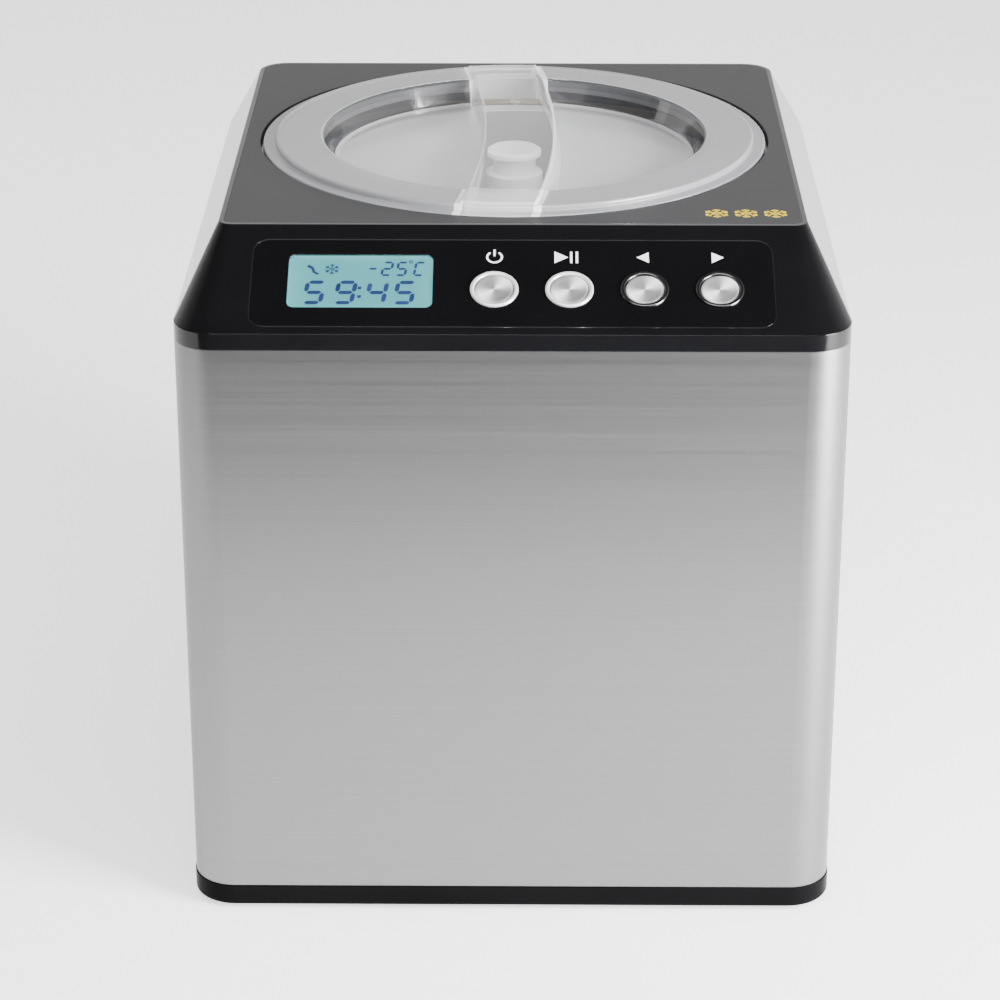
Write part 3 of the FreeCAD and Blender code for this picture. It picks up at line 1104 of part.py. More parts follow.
CORNER_NAMES = ("front_left", "front_right", "rear_right", "rear_left")
CORNERS = ((-1, -1), (1, -1), (1, 1), (-1, 1))
FOOT_SPOTS = [(f"{side} * FootX", f"{end} * FootY") for side, end in CORNERS]
POST_SPOTS = [(f"{side} * PostX", f"{end} * PostY") for side, end in CORNERS]
REAR_SCREW_SPOTS = [(f"{side} * RearScrewX", level) for side in (-1, 1)
                    for level in ("RearScrewLow", "RearScrewMid", "RearScrewTop")]
BUTTON_NAMES = ("power", "start", "minus", "plus")
BUTTON_SPOTS = [f"(ButtonFirst + {count} * ButtonPitch)" for count in range(4)]
SUCTION_BEARING = 135.0

base_tray()
body_wrap()
rear_panel()
left_trim = keep(side_trim("side_trim_left", -1))
right_trim = keep(side_trim("side_trim_right", 1))
top_cover([left_trim, right_trim])
top_deck()
control_overlay()
lcd_parts()
buttons()
lid()
bowl()
paddle()
cooling_well()
foam_jacket()
evaporator_coil()
gearbox()
drive_train()
drive_shaft()
motor()
compressor()
condenser()
fan()
lines()
power_parts()
chassis()
feet()
doc.recompute()

faults = [item.Name for item in doc.Objects if {"Invalid", "Error"} & set(item.State)]
for node in nodes:
    if node.Shape.isNull() or not node.Shape.isValid() or not node.Shape.Solids:
        faults.append(node.Label)
if faults:
    raise RuntimeError("failed objects: " + ", ".join(faults))
os.makedirs("parts", exist_ok=True)
for node in nodes:
    node.Shape.exportStep(f"parts/{node.Label}.step")
print(len(nodes), "sub-parts")
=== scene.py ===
"""Looks of the ice cream maker: materials, display, icons, buttons, lid, lights and camera."""

import json
import math

import bmesh
import bpy
from mathutils import Matrix, Vector


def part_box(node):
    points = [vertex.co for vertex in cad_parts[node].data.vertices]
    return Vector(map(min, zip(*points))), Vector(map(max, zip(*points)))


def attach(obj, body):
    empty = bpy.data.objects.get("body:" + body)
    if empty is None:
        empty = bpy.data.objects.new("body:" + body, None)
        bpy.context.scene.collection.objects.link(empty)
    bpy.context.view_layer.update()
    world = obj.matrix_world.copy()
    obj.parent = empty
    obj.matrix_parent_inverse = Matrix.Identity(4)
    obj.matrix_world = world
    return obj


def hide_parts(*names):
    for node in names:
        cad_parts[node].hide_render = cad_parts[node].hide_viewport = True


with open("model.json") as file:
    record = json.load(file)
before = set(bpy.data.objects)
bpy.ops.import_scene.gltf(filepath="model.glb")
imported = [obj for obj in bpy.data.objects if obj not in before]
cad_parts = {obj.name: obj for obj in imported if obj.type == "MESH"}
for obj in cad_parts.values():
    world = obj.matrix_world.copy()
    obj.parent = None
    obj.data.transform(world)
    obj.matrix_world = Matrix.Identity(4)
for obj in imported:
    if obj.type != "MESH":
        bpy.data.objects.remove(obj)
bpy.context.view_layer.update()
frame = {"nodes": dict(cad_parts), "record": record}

MM = 0.001

# Places worked out from the CAD boxes; the slope runs from the band up to the deck.
COVER_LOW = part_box("top_cover")[0]
DECK_LOW, DECK_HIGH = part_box("top_deck")
LID_LOW, LID_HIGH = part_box("lid")
LENS_LOW, LENS_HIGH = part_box("lcd_lens")
BAND = 7.1 * MM
SLOPE_RISE = 27.5 * MM
SLOPE_DEPTH = 55.2 * MM
SLOPE_ANGLE = math.atan2(SLOPE_RISE, SLOPE_DEPTH)
SLOPE_START = Vector((0, COVER_LOW.y, COVER_LOW.z + BAND))
BOWL_Y = (LID_LOW.y + LID_HIGH.y) / 2
SLOPE_FRAME = Matrix.Translation(SLOPE_START) @ Matrix.Rotation(SLOPE_ANGLE, 4, "X")

# Control panel, in millimetres across and up the slope
WINDOW_WEST, WINDOW_LOW = -91.0, 14.9
BUTTON_FIRST, BUTTON_PITCH, BUTTON_UP = -7.4, 30.4, 25.0
BUTTON_NAMES = ("power", "start", "minus", "plus")
ICON_UP = 43.2
PRINT_LEVELS = (-0.02, 0.05)

# Lid: bowed grip bar and the recess round it
SIDE_BOW = 620 * MM
RIDGE_OFFSET = 2.5 * MM
RIDGE_HALF = 16 * MM
# Flare of the bar's foot, then the width of the band along its sides that is painted pale as a painted
# highlight
RIDGE_FLARE, RIDGE_HIGHLIGHT_WIDTH = 2.2 * MM, 1.2 * MM
RECESS_RADIUS = 85 * MM
RECESS_ROUND = 1.2 * MM
RECESS_WALL, RECESS_BAND = 82.8 * MM, 2.6 * MM

# Cover of the lid's plastic: clear floor, hazier ring, clearer bar whose edges are painted pale as
# painted highlights
CLEAR_ALPHA, RING_ALPHA, BAR_ALPHA, EDGE_HIGHLIGHT_ALPHA = 0.4, 0.26, -0.31, 0.42
# More cover on the recess wall, where a dark band is painted as a painted reflection
DARK_REFLECTION_ALPHA = 0.2
LID_IOR = 1.9

# What an untouched noise texture mostly spans
NOISE_LOW, NOISE_HIGH = 0.3, 0.7


# ---- Shader helpers --------------------------------------------------------------

def new_material(name):
    material = bpy.data.materials.new(name)
    material.use_nodes = True
    tree = material.node_tree
    return material, tree, tree.nodes["Principled BSDF"]


def add(tree, kind, settings=None, **inputs):
    """Node of one kind with its settings and socket values; a socket value is linked."""
    item = tree.nodes.new(kind)
    for name, value in (settings or {}).items():
        setattr(item, name, value)
    fill(tree, item, **inputs)
    return item


def fill(tree, item, **inputs):
    """Give a node's inputs, named by socket with _ for a space, or i0, i1 and so on by place."""
    for name, value in inputs.items():
        by_place = name[0] == "i" and name[1:].isdigit()
        give(tree, item.inputs[int(name[1:]) if by_place else name.replace("_", " ")], value)


def give(tree, socket, value):
    if isinstance(value, bpy.types.NodeSocket):
        tree.links.new(value, socket)
    else:
        socket.default_value = value


def math_node(tree, operation, first, second=0.0, third=0.0):
    return add(tree, "ShaderNodeMath", {"operation": operation},
               i0=first, i1=second, i2=third).outputs[0]


def own_place(tree):
    """The object's own coordinates, in metres."""
    return add(tree, "ShaderNodeTexCoord").outputs["Object"]


def toned(colour, factor):
    return tuple(min(1, channel * factor) for channel in colour)


def spread(tree, stretch=(1, 1, 1), scale=1.0, detail=3.0, rough=0.5):
    """Noise over the object's own metres, stretched along its axes."""
    mapped = add(tree, "ShaderNodeMapping", i0=own_place(tree), i3=stretch).outputs[0]
    noise = add(tree, "ShaderNodeTexNoise", Vector=mapped, Scale=scale, Detail=detail,
                Roughness=rough)
    return noise.outputs[0]


def between(tree, factor, low, high):
    """Remap a noise from its usual span to a range."""
    return add(tree, "ShaderNodeMapRange", Value=factor, From_Min=NOISE_LOW, From_Max=NOISE_HIGH,
               To_Min=low, To_Max=high).outputs[0]


def tint(tree, factor, low, high):
    item = add(tree, "ShaderNodeMix", {"data_type": "RGBA"})
    give(tree, item.inputs[0], factor)
    item.inputs[6].default_value = (*low, 1)
    item.inputs[7].default_value = (*high, 1)
    return item.outputs[2]


def multiplied(tree, first, second):
    item = add(tree, "ShaderNodeMix", {"data_type": "RGBA", "blend_type": "MULTIPLY"})
    item.inputs[0].default_value = 1.0
    give(tree, item.inputs[6], first)
    give(tree, item.inputs[7], second)
    return item.outputs[2]


def relief(tree, shader, height, strength, distance, edge=0.00045):
    """Surface relief over softly broken edges."""
    broken = add(tree, "ShaderNodeBevel", {"samples": 6}, Radius=edge).outputs[0]
    bump = add(tree, "ShaderNodeBump", Strength=strength, Distance=distance, Height=height,
               Normal=broken)
    tree.links.new(bump.outputs[0], shader.inputs["Normal"])


def grained_plastic(name, colour, roughness=0.45, grain=1800, depth=0.25, spread_of_tone=0.12,
                    sheen=0.5, gloss_drift=0.12):
    """Moulded plastic: fine spark-eroded grain, slight tone and gloss drift."""
    material, tree, shader = new_material(name)
    drift = spread(tree, scale=14, detail=4)
    dark, light = toned(colour, 1 - spread_of_tone), toned(colour, 1 + spread_of_tone)
    give(tree, shader.inputs["Base Color"], tint(tree, between(tree, drift, 0, 1), dark, light))
    grain_noise = spread(tree, scale=grain, detail=2)
    gloss = between(tree, spread(tree, scale=90, detail=5), roughness * (1 - gloss_drift),
                    roughness * (1 + gloss_drift))
    give(tree, shader.inputs["Roughness"], gloss)
    relief(tree, shader, grain_noise, depth, 0.00006)
    shader.inputs["Specular IOR Level"].default_value = sheen
    return material


def polished_plastic(name, colour, roughness=0.07):
    """Glossy plastic with faint wipe marks and a very slight orange peel."""
    material, tree, shader = new_material(name)
    wipes = spread(tree, (1, 5, 1), scale=22, detail=6, rough=0.65)
    give(tree, shader.inputs["Roughness"], between(tree, wipes, roughness * 0.6, roughness * 1.9))
    tone = between(tree, spread(tree, scale=35), 0, 1)
    give(tree, shader.inputs["Base Color"],
         tint(tree, tone, colour, toned(colour, 1.25)))
    relief(tree, shader, spread(tree, scale=160, detail=1), 0.04, 0.0002)
    shader.inputs["Specular IOR Level"].default_value = 0.32
    return material


def brushed_metal(name, colour, stretch, roughness=0.34, strength=0.16, metallic=1.0):
    """Metal with straight brushing; stretch is the marks' frequency by axis, low along them."""
    material, tree, shader = new_material(name)
    fine = spread(tree, stretch, scale=1.0, detail=4, rough=0.65)
    wide = spread(tree, tuple(part * 0.08 for part in stretch), scale=1.0, detail=2)
    both = math_node(tree, "MULTIPLY_ADD", fine, 0.75, math_node(tree, "MULTIPLY", wide, 0.25))
    dark, light = toned(colour, 0.93), toned(colour, 1.06)
    give(tree, shader.inputs["Base Color"], tint(tree, between(tree, both, 0, 1), dark, light))
    shader.inputs["Metallic"].default_value = metallic
    give(tree, shader.inputs["Roughness"],
         between(tree, both, roughness * 0.85, roughness * 1.15))
    relief(tree, shader, fine, strength, 0.00004)
    return material


def turned_metal(name, colour, centre, roughness=0.3, pitch=0.0006):
    """Metal with concentric turning marks round a vertical axis."""
    material, tree, shader = new_material(name)
    moved = add(tree, "ShaderNodeMapping", i0=own_place(tree),
                i1=tuple(-part for part in centre)).outputs[0]
    rings = add(tree, "ShaderNodeTexWave", {"wave_type": "RINGS", "rings_direction": "Z"},
                Vector=moved, Scale=0.3 / pitch, Distortion=1.2, Detail=2.0)
    marks = rings.outputs[1]
    drift = spread(tree, scale=20, detail=5)
    give(tree, shader.inputs["Base Color"], tint(
        tree, between(tree, drift, 0, 1), toned(colour, 0.92), colour))
    shader.inputs["Metallic"].default_value = 1.0
    give(tree, shader.inputs["Roughness"], between(tree, drift, roughness * 0.85, roughness * 1.2))
    relief(tree, shader, marks, 0.08, 0.00005)
    return material


def drawn_copper(name):
    """Copper tube: warm, satin, with darker oxide blotches."""
    material, tree, shader = new_material(name)
    blotch = between(tree, spread(tree, scale=60, detail=6, rough=0.6), 0, 1)
    bright, oxide = (0.72, 0.33, 0.19), (0.5, 0.2, 0.11)
    give(tree, shader.inputs["Base Color"], tint(tree, blotch, bright, oxide))
    shader.inputs["Metallic"].default_value = 1.0
    give(tree, shader.inputs["Roughness"], between(tree, spread(tree, scale=110), 0.22, 0.42))
    relief(tree, shader, spread(tree, scale=900), 0.08, 0.00004)
    return material


def foamed(name):
    """Poured insulating foam with open cells and a yellowed skin."""
    material, tree, shader = new_material(name)
    cells = add(tree, "ShaderNodeTexVoronoi", Scale=420.0, Vector=own_place(tree)).outputs[0]
    tone = between(tree, spread(tree, scale=26, detail=5), 0, 1)
    give(tree, shader.inputs["Base Color"], tint(tree, tone, (0.72, 0.6, 0.34), (0.85, 0.77, 0.55)))
    shader.inputs["Roughness"].default_value = 0.9
    relief(tree, shader, cells, 0.5, 0.0006)
    return material


def soft_rubber(name):
    material, tree, shader = new_material(name)
    dust = between(tree, spread(tree, scale=180, detail=6), 0, 1)
    clean, dusty = (0.012, 0.012, 0.012), (0.03, 0.03, 0.03)
    give(tree, shader.inputs["Base Color"], tint(tree, dust, clean, dusty))
    shader.inputs["Roughness"].default_value = 0.75
    relief(tree, shader, spread(tree, scale=1500), 0.2, 0.00008)
    return material


def clear_lid(name):
    """Clear moulded lid, drawn by its cover: grey ring, recess wall painted dark as a painted
    reflection, thin bar whose edges are painted pale as painted highlights.
    """
    material, tree, shader = new_material(name)
    split = add(tree, "ShaderNodeSeparateXYZ", i0=own_place(tree))
    across = math_node(tree, "SUBTRACT", split.outputs[0], RIDGE_OFFSET - SIDE_BOW)
    along = math_node(tree, "SUBTRACT", split.outputs[1], BOWL_Y)
    squares = math_node(tree, "ADD", math_node(tree, "POWER", across, 2.0),
                        math_node(tree, "POWER", along, 2.0))
    reach = math_node(tree, "SQRT", squares)
    off = math_node(tree, "ABSOLUTE", math_node(tree, "SUBTRACT", reach, SIDE_BOW))
    bar = math_node(tree, "LESS_THAN", off, RIDGE_HALF + RIDGE_FLARE)
    span = math_node(tree, "SQRT", math_node(
        tree, "ADD", math_node(tree, "POWER", split.outputs[0], 2.0),
        math_node(tree, "POWER", along, 2.0)))
    ring = math_node(tree, "GREATER_THAN", span, RECESS_RADIUS + RECESS_ROUND)
    # Band on the recess wall, outside the bar, painted dark as a painted reflection
    dark_reflection_band = math_node(tree, "LESS_THAN", math_node(
        tree, "ABSOLUTE", math_node(tree, "SUBTRACT", span, RECESS_WALL)), RECESS_BAND)
    dark_reflection_band = math_node(tree, "MULTIPLY", dark_reflection_band, math_node(tree, "SUBTRACT", 1.0, bar))
    mist = between(tree, spread(tree, scale=70, detail=5), 0.04, 0.12)
    give(tree, shader.inputs["Roughness"],
         math_node(tree, "ADD", mist, math_node(tree, "MULTIPLY", ring, 0.14)))
    # Painted highlight: a thin pale band along the bar's sides, shown by more cover
    edge = math_node(tree, "MULTIPLY", bar, math_node(
        tree, "GREATER_THAN", off, RIDGE_HALF - RIDGE_HIGHLIGHT_WIDTH))
    pale = tint(tree, bar, (0.84, 0.85, 0.86), (0.94, 0.94, 0.95))
    grey = tint(tree, math_node(tree, "MULTIPLY", ring, math_node(tree, "SUBTRACT", 1.0, bar)),
                (1.0, 1.0, 1.0), (0.42, 0.42, 0.43))
    # Near-black tint of the painted reflection on the recess wall
    dark = tint(tree, dark_reflection_band, (1.0, 1.0, 1.0), (0.05, 0.05, 0.055))
    give(tree, shader.inputs["Base Color"], multiplied(tree, multiplied(tree, pale, grey), dark))
    film = math_node(tree, "ADD", CLEAR_ALPHA, math_node(tree, "MULTIPLY", ring, RING_ALPHA))
    film = math_node(tree, "ADD", film, math_node(tree, "MULTIPLY", bar, BAR_ALPHA))
    film = math_node(tree, "ADD", film, math_node(tree, "MULTIPLY", dark_reflection_band, DARK_REFLECTION_ALPHA))
    give(tree, shader.inputs["Alpha"],
         math_node(tree, "ADD", film, math_node(tree, "MULTIPLY", edge, EDGE_HIGHLIGHT_ALPHA)))
    shader.inputs["IOR"].default_value = LID_IOR
    relief(tree, shader, spread(tree, scale=140, detail=2), 0.05, 0.0002)
    return material


def display_glass(name):
    """Thin clear window, barely smudged."""
    material, tree, shader = new_material(name)
    shader.inputs["Transmission Weight"].default_value = 1.0
    shader.inputs["IOR"].default_value = 1.2
    give(tree, shader.inputs["Roughness"], between(tree, spread(tree, scale=60, detail=5), 0.01, 0.05))
    tone = between(tree, spread(tree, scale=30), 0, 1)
    give(tree, shader.inputs["Base Color"], tint(tree, tone, (0.97, 0.99, 0.99), (0.99, 1.0, 1.0)))
    return material


def display_cell(name):
    """Back-lit display: pale teal, brighter toward its border, with a fine pixel film."""
    material, tree, shader = new_material(name)
    split = add(tree, "ShaderNodeSeparateXYZ", i0=own_place(tree))
    middle = (LENS_LOW + LENS_HIGH) / 2
    half = (LENS_HIGH - LENS_LOW) / 2
    edge_x = math_node(tree, "ABSOLUTE", math_node(
        tree, "DIVIDE", math_node(tree, "SUBTRACT", split.outputs[0], middle.x), half.x))
    edge_y = math_node(tree, "ABSOLUTE", math_node(
        tree, "DIVIDE", math_node(tree, "SUBTRACT", split.outputs[1], middle.y), half.y))
    edge = math_node(tree, "POWER", math_node(tree, "MAXIMUM", edge_x, edge_y), 6.0)
    film = between(tree, spread(tree, (1, 6, 6), scale=500, detail=1), 0.0, 0.16)
    glow = tint(tree, math_node(tree, "ADD", math_node(tree, "MULTIPLY", edge, 0.7), film),
                (0.07, 0.31, 0.33), (0.13, 0.46, 0.49))
    give(tree, shader.inputs["Base Color"], glow)
    give(tree, shader.inputs["Emission Color"], glow)
    shader.inputs["Emission Strength"].default_value = 0.4
    shader.inputs["Roughness"].default_value = 0.4
    return material


def printed(name, colour, glow=0.0):
    """Screen-printed ink: nearly even colour, slightly uneven gloss, and an optional glow that is
    painted light.
    """
    material, tree, shader = new_material(name)
    tone = between(tree, spread(tree, scale=900, detail=4), 0, 1)
    ink = tint(tree, tone, toned(colour, 0.93), colour)
    give(tree, shader.inputs["Base Color"], ink)
    give(tree, shader.inputs["Emission Color"], ink)
    # Glow of the ink: painted light, since print gives off none
    shader.inputs["Emission Strength"].default_value = glow
    give(tree, shader.inputs["Roughness"], between(tree, spread(tree, scale=400), 0.35, 0.55))
    return material


def spun_cap(name):
    """Button cap: fine spin marks round the cap's own axis, and two bright wedges painted into its
    colour as painted highlights.
    """
    material, tree, shader = new_material(name)
    place = own_place(tree)
    rings = add(tree, "ShaderNodeTexWave", {"wave_type": "RINGS", "rings_direction": "Z"},
                Vector=place, Scale=1400.0, Distortion=0.6, Detail=2.0)
    split = add(tree, "ShaderNodeSeparateXYZ", i0=place)
    # Painted highlight: two bright wedges put into the cap's colour by angle round its axis
    angle = math_node(tree, "ARCTAN2", split.outputs[1], split.outputs[0])
    turned = math_node(tree, "MULTIPLY", math_node(tree, "SUBTRACT", angle, math.radians(40)), 2.0)
    wave = math_node(tree, "MULTIPLY_ADD", math_node(tree, "COSINE", turned), 0.5, 0.5)
    painted_wedge_highlight = tint(tree, math_node(tree, "POWER", wave, 2.5), (0.22, 0.22, 0.22), (1.0, 1.0, 0.99))
    give(tree, shader.inputs["Base Color"], painted_wedge_highlight)
    fill(tree, shader, Metallic=0.35, Anisotropic=0.6, Roughness=0.3)
    tangent = add(tree, "ShaderNodeTangent", {"direction_type": "RADIAL", "axis": "Z"})
    tree.links.new(tangent.outputs[0], shader.inputs["Tangent"])
    relief(tree, shader, rings.outputs[1], 0.05, 0.00004)
    return material


def circuit_board(name):
    """Solder mask over faint tracks."""
    material, tree, shader = new_material(name)
    tracks = add(tree, "ShaderNodeTexBrick", Vector=own_place(tree), Scale=160.0,
                 Color1=(0.012, 0.1, 0.04, 1), Color2=(0.015, 0.13, 0.05, 1),
                 Mortar=(0.03, 0.2, 0.08, 1))
    tree.links.new(tracks.outputs[0], shader.inputs["Base Color"])
    give(tree, shader.inputs["Roughness"], between(tree, spread(tree, scale=300), 0.25, 0.4))
    relief(tree, shader, tracks.outputs[1], 0.15, 0.0001)
    return material


def enamelled(name, colour):
    """Thick baked enamel with orange peel."""
    material, tree, shader = new_material(name)
    tone = between(tree, spread(tree, scale=40, detail=4), 0, 1)
    give(tree, shader.inputs["Base Color"],
         tint(tree, tone, colour, toned(colour, 1.6)))
    give(tree, shader.inputs["Roughness"], between(tree, spread(tree, scale=120), 0.2, 0.34))
    relief(tree, shader, spread(tree, scale=380, detail=1), 0.2, 0.0003)
    return material


# ---- Materials by record slot ----------------------------------------------------

SLOTS = {
    "black_plastic": grained_plastic("base_black", (0.003, 0.003, 0.0032), roughness=0.32,
                                     grain=2200, depth=0.18, sheen=0.02),
    "wrap_steel": brushed_metal("wrap_satin", (0.19, 0.19, 0.193), (3, 3, 1500), strength=0.07),
    "rear_plastic": grained_plastic("rear_black", (0.014, 0.014, 0.015), roughness=0.5,
                                    grain=1500, depth=0.35, spread_of_tone=0.04, sheen=0.3,
                                    gloss_drift=0.03),
    "gloss_black": polished_plastic("cover_gloss", (0.003, 0.003, 0.0035), roughness=0.08),
    "deck_grey": grained_plastic("deck_satin", (0.015, 0.015, 0.0165), roughness=0.5, grain=2600,
                                depth=0.2, spread_of_tone=0.03, gloss_drift=0.015),
    "trim_steel": brushed_metal("trim_satin", (0.7, 0.7, 0.7), (900, 5, 900), roughness=0.3),
    "overlay_black": polished_plastic("panel_gloss", (0.002, 0.002, 0.0025), roughness=0.05),
    "lens_clear": display_glass("window_clear"),
    "lcd_face": display_cell("display_cell"),
    "board_green": circuit_board("board"),
    "switch_black": grained_plastic("switch", (0.02, 0.02, 0.02), roughness=0.4),
    "ring_bright": brushed_metal("ring_bright", (0.9, 0.9, 0.9), (900, 900, 900), roughness=0.25,
                                 strength=0.05, metallic=0.5),
    "ring_dark": brushed_metal("ring_dark", (0.12, 0.12, 0.125), (900, 900, 900), roughness=0.22,
                               strength=0.05),
    "cap_spun": spun_cap("cap_spun"),
    "lid_smoke": clear_lid("lid_clear"),
    "bowl_metal": turned_metal("bowl_turned", (0.93, 0.93, 0.94), (0, BOWL_Y, 0), roughness=0.42),
    "paddle_white": grained_plastic("paddle_white", (0.8, 0.8, 0.79), roughness=0.35, grain=1200,
                                    depth=0.1, spread_of_tone=0.03),
    "well_metal": turned_metal("well_turned", (0.8, 0.8, 0.8), (0, BOWL_Y, 0), roughness=0.35,
                               pitch=0.0012),
    "copper": drawn_copper("copper_tube"),
    "foam": foamed("foam"),
    "gear_case": grained_plastic("case_dark", (0.03, 0.03, 0.033), roughness=0.5),
    "gear_white": grained_plastic("gear_white", (0.72, 0.71, 0.66), roughness=0.4, grain=900,
                                  depth=0.15, spread_of_tone=0.04),
    "shaft_steel": turned_metal("shaft_ground", (0.7, 0.7, 0.7), (0, BOWL_Y, 0), roughness=0.18),
    "seal_rubber": soft_rubber("rubber"),
    "motor_steel": brushed_metal("motor_plated", (0.5, 0.5, 0.5), (6, 6, 900), roughness=0.35),
    "compressor_black": enamelled("enamel_black", (0.01, 0.01, 0.01)),
    "fin_metal": brushed_metal("fin_rolled", (0.75, 0.76, 0.78), (700, 700, 6), roughness=0.3),
    "chassis_steel": brushed_metal("chassis_zinc", (0.55, 0.56, 0.57), (30, 400, 30), roughness=0.4),
    "screw_steel": brushed_metal("screw_plated", (0.6, 0.6, 0.6), (800, 800, 800), roughness=0.25),
}
node_slots = {part["node"]: part["material_slot"] for part in frame["record"]["subparts"]}
for node_name, node_object in frame["nodes"].items():
    finish_slot = node_slots[node_name]
    if not node_object.material_slots:
        node_object.data.materials.append(SLOTS[finish_slot])
    for material_slot in node_object.material_slots:
        material_slot.material = SLOTS[finish_slot]


# ---- Mesh helpers ----------------------------------------------------------------

def linked(name, data):
    """Object of the scene with this data."""
    item = bpy.data.objects.new(name, data)
    bpy.context.collection.objects.link(item)
    return item


def solid(name, mesh_data, material):
    """Object from a bmesh, which it frees."""
    mesh = bpy.data.meshes.new(name)
    mesh_data.to_mesh(mesh)
    mesh_data.free()
    item = linked(name, mesh)
    item.data.materials.append(material)
    return item


def piece(name, mesh_data, material, replaced=None):
    """Finished object with its material; where it stands in for a node, that node is hidden."""
    item = solid(name, mesh_data, material)
    if replaced:
        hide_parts(replaced)
    return item


def prism(mesh_data, outline, low, high, matrix=None):
    """Add a closed prism over an outline given counter-clockwise in millimetres."""
    matrix = matrix or Matrix()
    bottom = [mesh_data.verts.new(matrix @ Vector((x * MM, y * MM, low * MM))) for x, y in outline]
    top = [mesh_data.verts.new(matrix @ Vector((x * MM, y * MM, high * MM))) for x, y in outline]
    mesh_data.faces.new(list(reversed(bottom)))
    mesh_data.faces.new(top)
    count = len(outline)
    for here in range(count):
        after = (here + 1) % count
        mesh_data.faces.new([bottom[here], bottom[after], top[after], top[here]])


def arc_points(centre, radius, start, end, steps):
    angles = [math.radians(start + (end - start) * step / steps) for step in range(steps + 1)]
    return [(centre[0] + radius * math.cos(angle), centre[1] + radius * math.sin(angle))
            for angle in angles]


def rectangle(x0, y0, x1, y1):
    return [(x0, y0), (x1, y0), (x1, y1), (x0, y1)]


def open_ring(outer, inner, start, end, steps):
    """Outline of a ring broken between two angles, round the origin."""
    return arc_points((0, 0), outer, start, end, steps) + \
        arc_points((0, 0), inner, end, start, steps)


def shifted(outline, x, y, place=(0, 0)):
    return [(px + x + place[0], py + y + place[1]) for px, py in outline]


def lathe(outline, segments=96):
    """Turned solid about Z from (radius, height) millimetres, axis to axis or back to its start."""
    mesh_data = bmesh.new()
    rows = []
    for radius, height in outline:
        if radius < 1e-6:
            rows.append([mesh_data.verts.new((0, 0, height * MM))])
            continue
        rows.append([mesh_data.verts.new((radius * MM * math.cos(2 * math.pi * k / segments),
                                          radius * MM * math.sin(2 * math.pi * k / segments),
                                          height * MM)) for k in range(segments)])
    for low, high in zip(rows, rows[1:]):
        for k in range(segments):
            after = (k + 1) % segments
            corners = [low[k % len(low)], low[after % len(low)],
                       high[after % len(high)], high[k % len(high)]]
            distinct = [vert for n, vert in enumerate(corners) if vert not in corners[:n]]
            mesh_data.faces.new(distinct)
    bmesh.ops.recalc_face_normals(mesh_data, faces=mesh_data.faces)
    return mesh_data


def smooth(item, angle=35):
    for polygon in item.data.polygons:
        polygon.use_smooth = True
    item.data.set_sharp_from_angle(angle=math.radians(angle))


# ---- Display contents ------------------------------------------------------------

SEGMENTS = {"2": "abged", "4": "fgbc", "5": "afgcd", "9": "abcdfg", "C": "afed",
            "-": "g"}
SLANT = 0.14
CELL_LEVEL = (-1.28, -1.22)
# Width, height and stroke of the digits, and where each starts from the window's left edge
BIG_DIGIT, BIG_STARTS = (8.6, 13.2, 1.85), (5.6, 18.2, 30.9, 42.2)
SMALL_DIGIT, SMALL_STARTS = (4.6, 8.2, 1.05), (31.4, 37.2, 43.1, 50.3)
COLON_START, COLON_LEVELS, COLON_SIDE = 28.3, (3.6, 8.4), 1.5
BIG_BASE, SMALL_BASE = 2.6, 15.8
DEGREE_PLACE, DEGREE_OUTER, DEGREE_INNER = (49.7, 8.0), 0.9, 0.45
FROST_PLACE, FROST_RADIUS, FROST_STROKE = (17.6, 3.8), 3.0, 0.42
PADDLE_PLACE = (7.2, 0.6)
PADDLE_MARK = [(0, 4.6), (1.9, 3.4), (2.6, 1.2), (4.6, 0), (5.4, 0.7), (3.6, 1.9), (3.0, 4.2),
               (0.9, 5.7)]


def segment_outline(name, width, height, thick):
    """One bar of a seven-segment digit with pointed ends, before slanting."""
    gap = thick * 0.18
    half = height / 2
    level = {"a": height, "g": half, "d": 0.0}
    if name in level:
        y = min(max(level[name], thick / 2), height - thick / 2)
        x0, x1 = thick / 2 + gap, width - thick / 2 - gap
        return [(x0, y), (x0 + thick / 2, y - thick / 2), (x1 - thick / 2, y - thick / 2), (x1, y),
                (x1 - thick / 2, y + thick / 2), (x0 + thick / 2, y + thick / 2)]
    x = thick / 2 if name in "ef" else width - thick / 2
    y0 = (half if name in "bf" else thick / 2) + gap
    y1 = (height - thick / 2 if name in "bf" else half) - gap
    return [(x, y0), (x + thick / 2, y0 + thick / 2), (x + thick / 2, y1 - thick / 2), (x, y1),
            (x - thick / 2, y1 - thick / 2), (x - thick / 2, y0 + thick / 2)]


def slanted(outline, x, y):
    return [(x + px + SLANT * py, y + py) for px, py in outline]


def digit(mesh_data, text, x, y, width, height, thick):
    for name in SEGMENTS[text]:
        prism(mesh_data, slanted(segment_outline(name, width, height, thick), x, y),
              *CELL_LEVEL, SLOPE_FRAME)


def dot(mesh_data, x, y, side):
    prism(mesh_data, slanted(rectangle(0, 0, side, side), x, y), *CELL_LEVEL, SLOPE_FRAME)


def snowflake(mesh_data, centre, radius, thick, levels, matrix=SLOPE_FRAME):
    """Six arms with two side barbs each."""
    for arm in range(6):
        turn = math.radians(60 * arm + 30)
        strokes = [((0.3, 0), (radius, 0)), ((radius * 0.55, 0), (radius * 0.85, radius * 0.28)),
                   ((radius * 0.55, 0), (radius * 0.85, -radius * 0.28))]
        for start, end in strokes:
            along = Vector((end[0] - start[0], end[1] - start[1])).normalized()
            side = Vector((-along.y, along.x)) * thick / 2
            corners = [Vector(start) - side, Vector(end) - side, Vector(end) + side,
                       Vector(start) + side]
            outline = [(centre[0] + c.x * math.cos(turn) - c.y * math.sin(turn),
                        centre[1] + c.x * math.sin(turn) + c.y * math.cos(turn)) for c in corners]
            prism(mesh_data, outline, *levels, matrix)


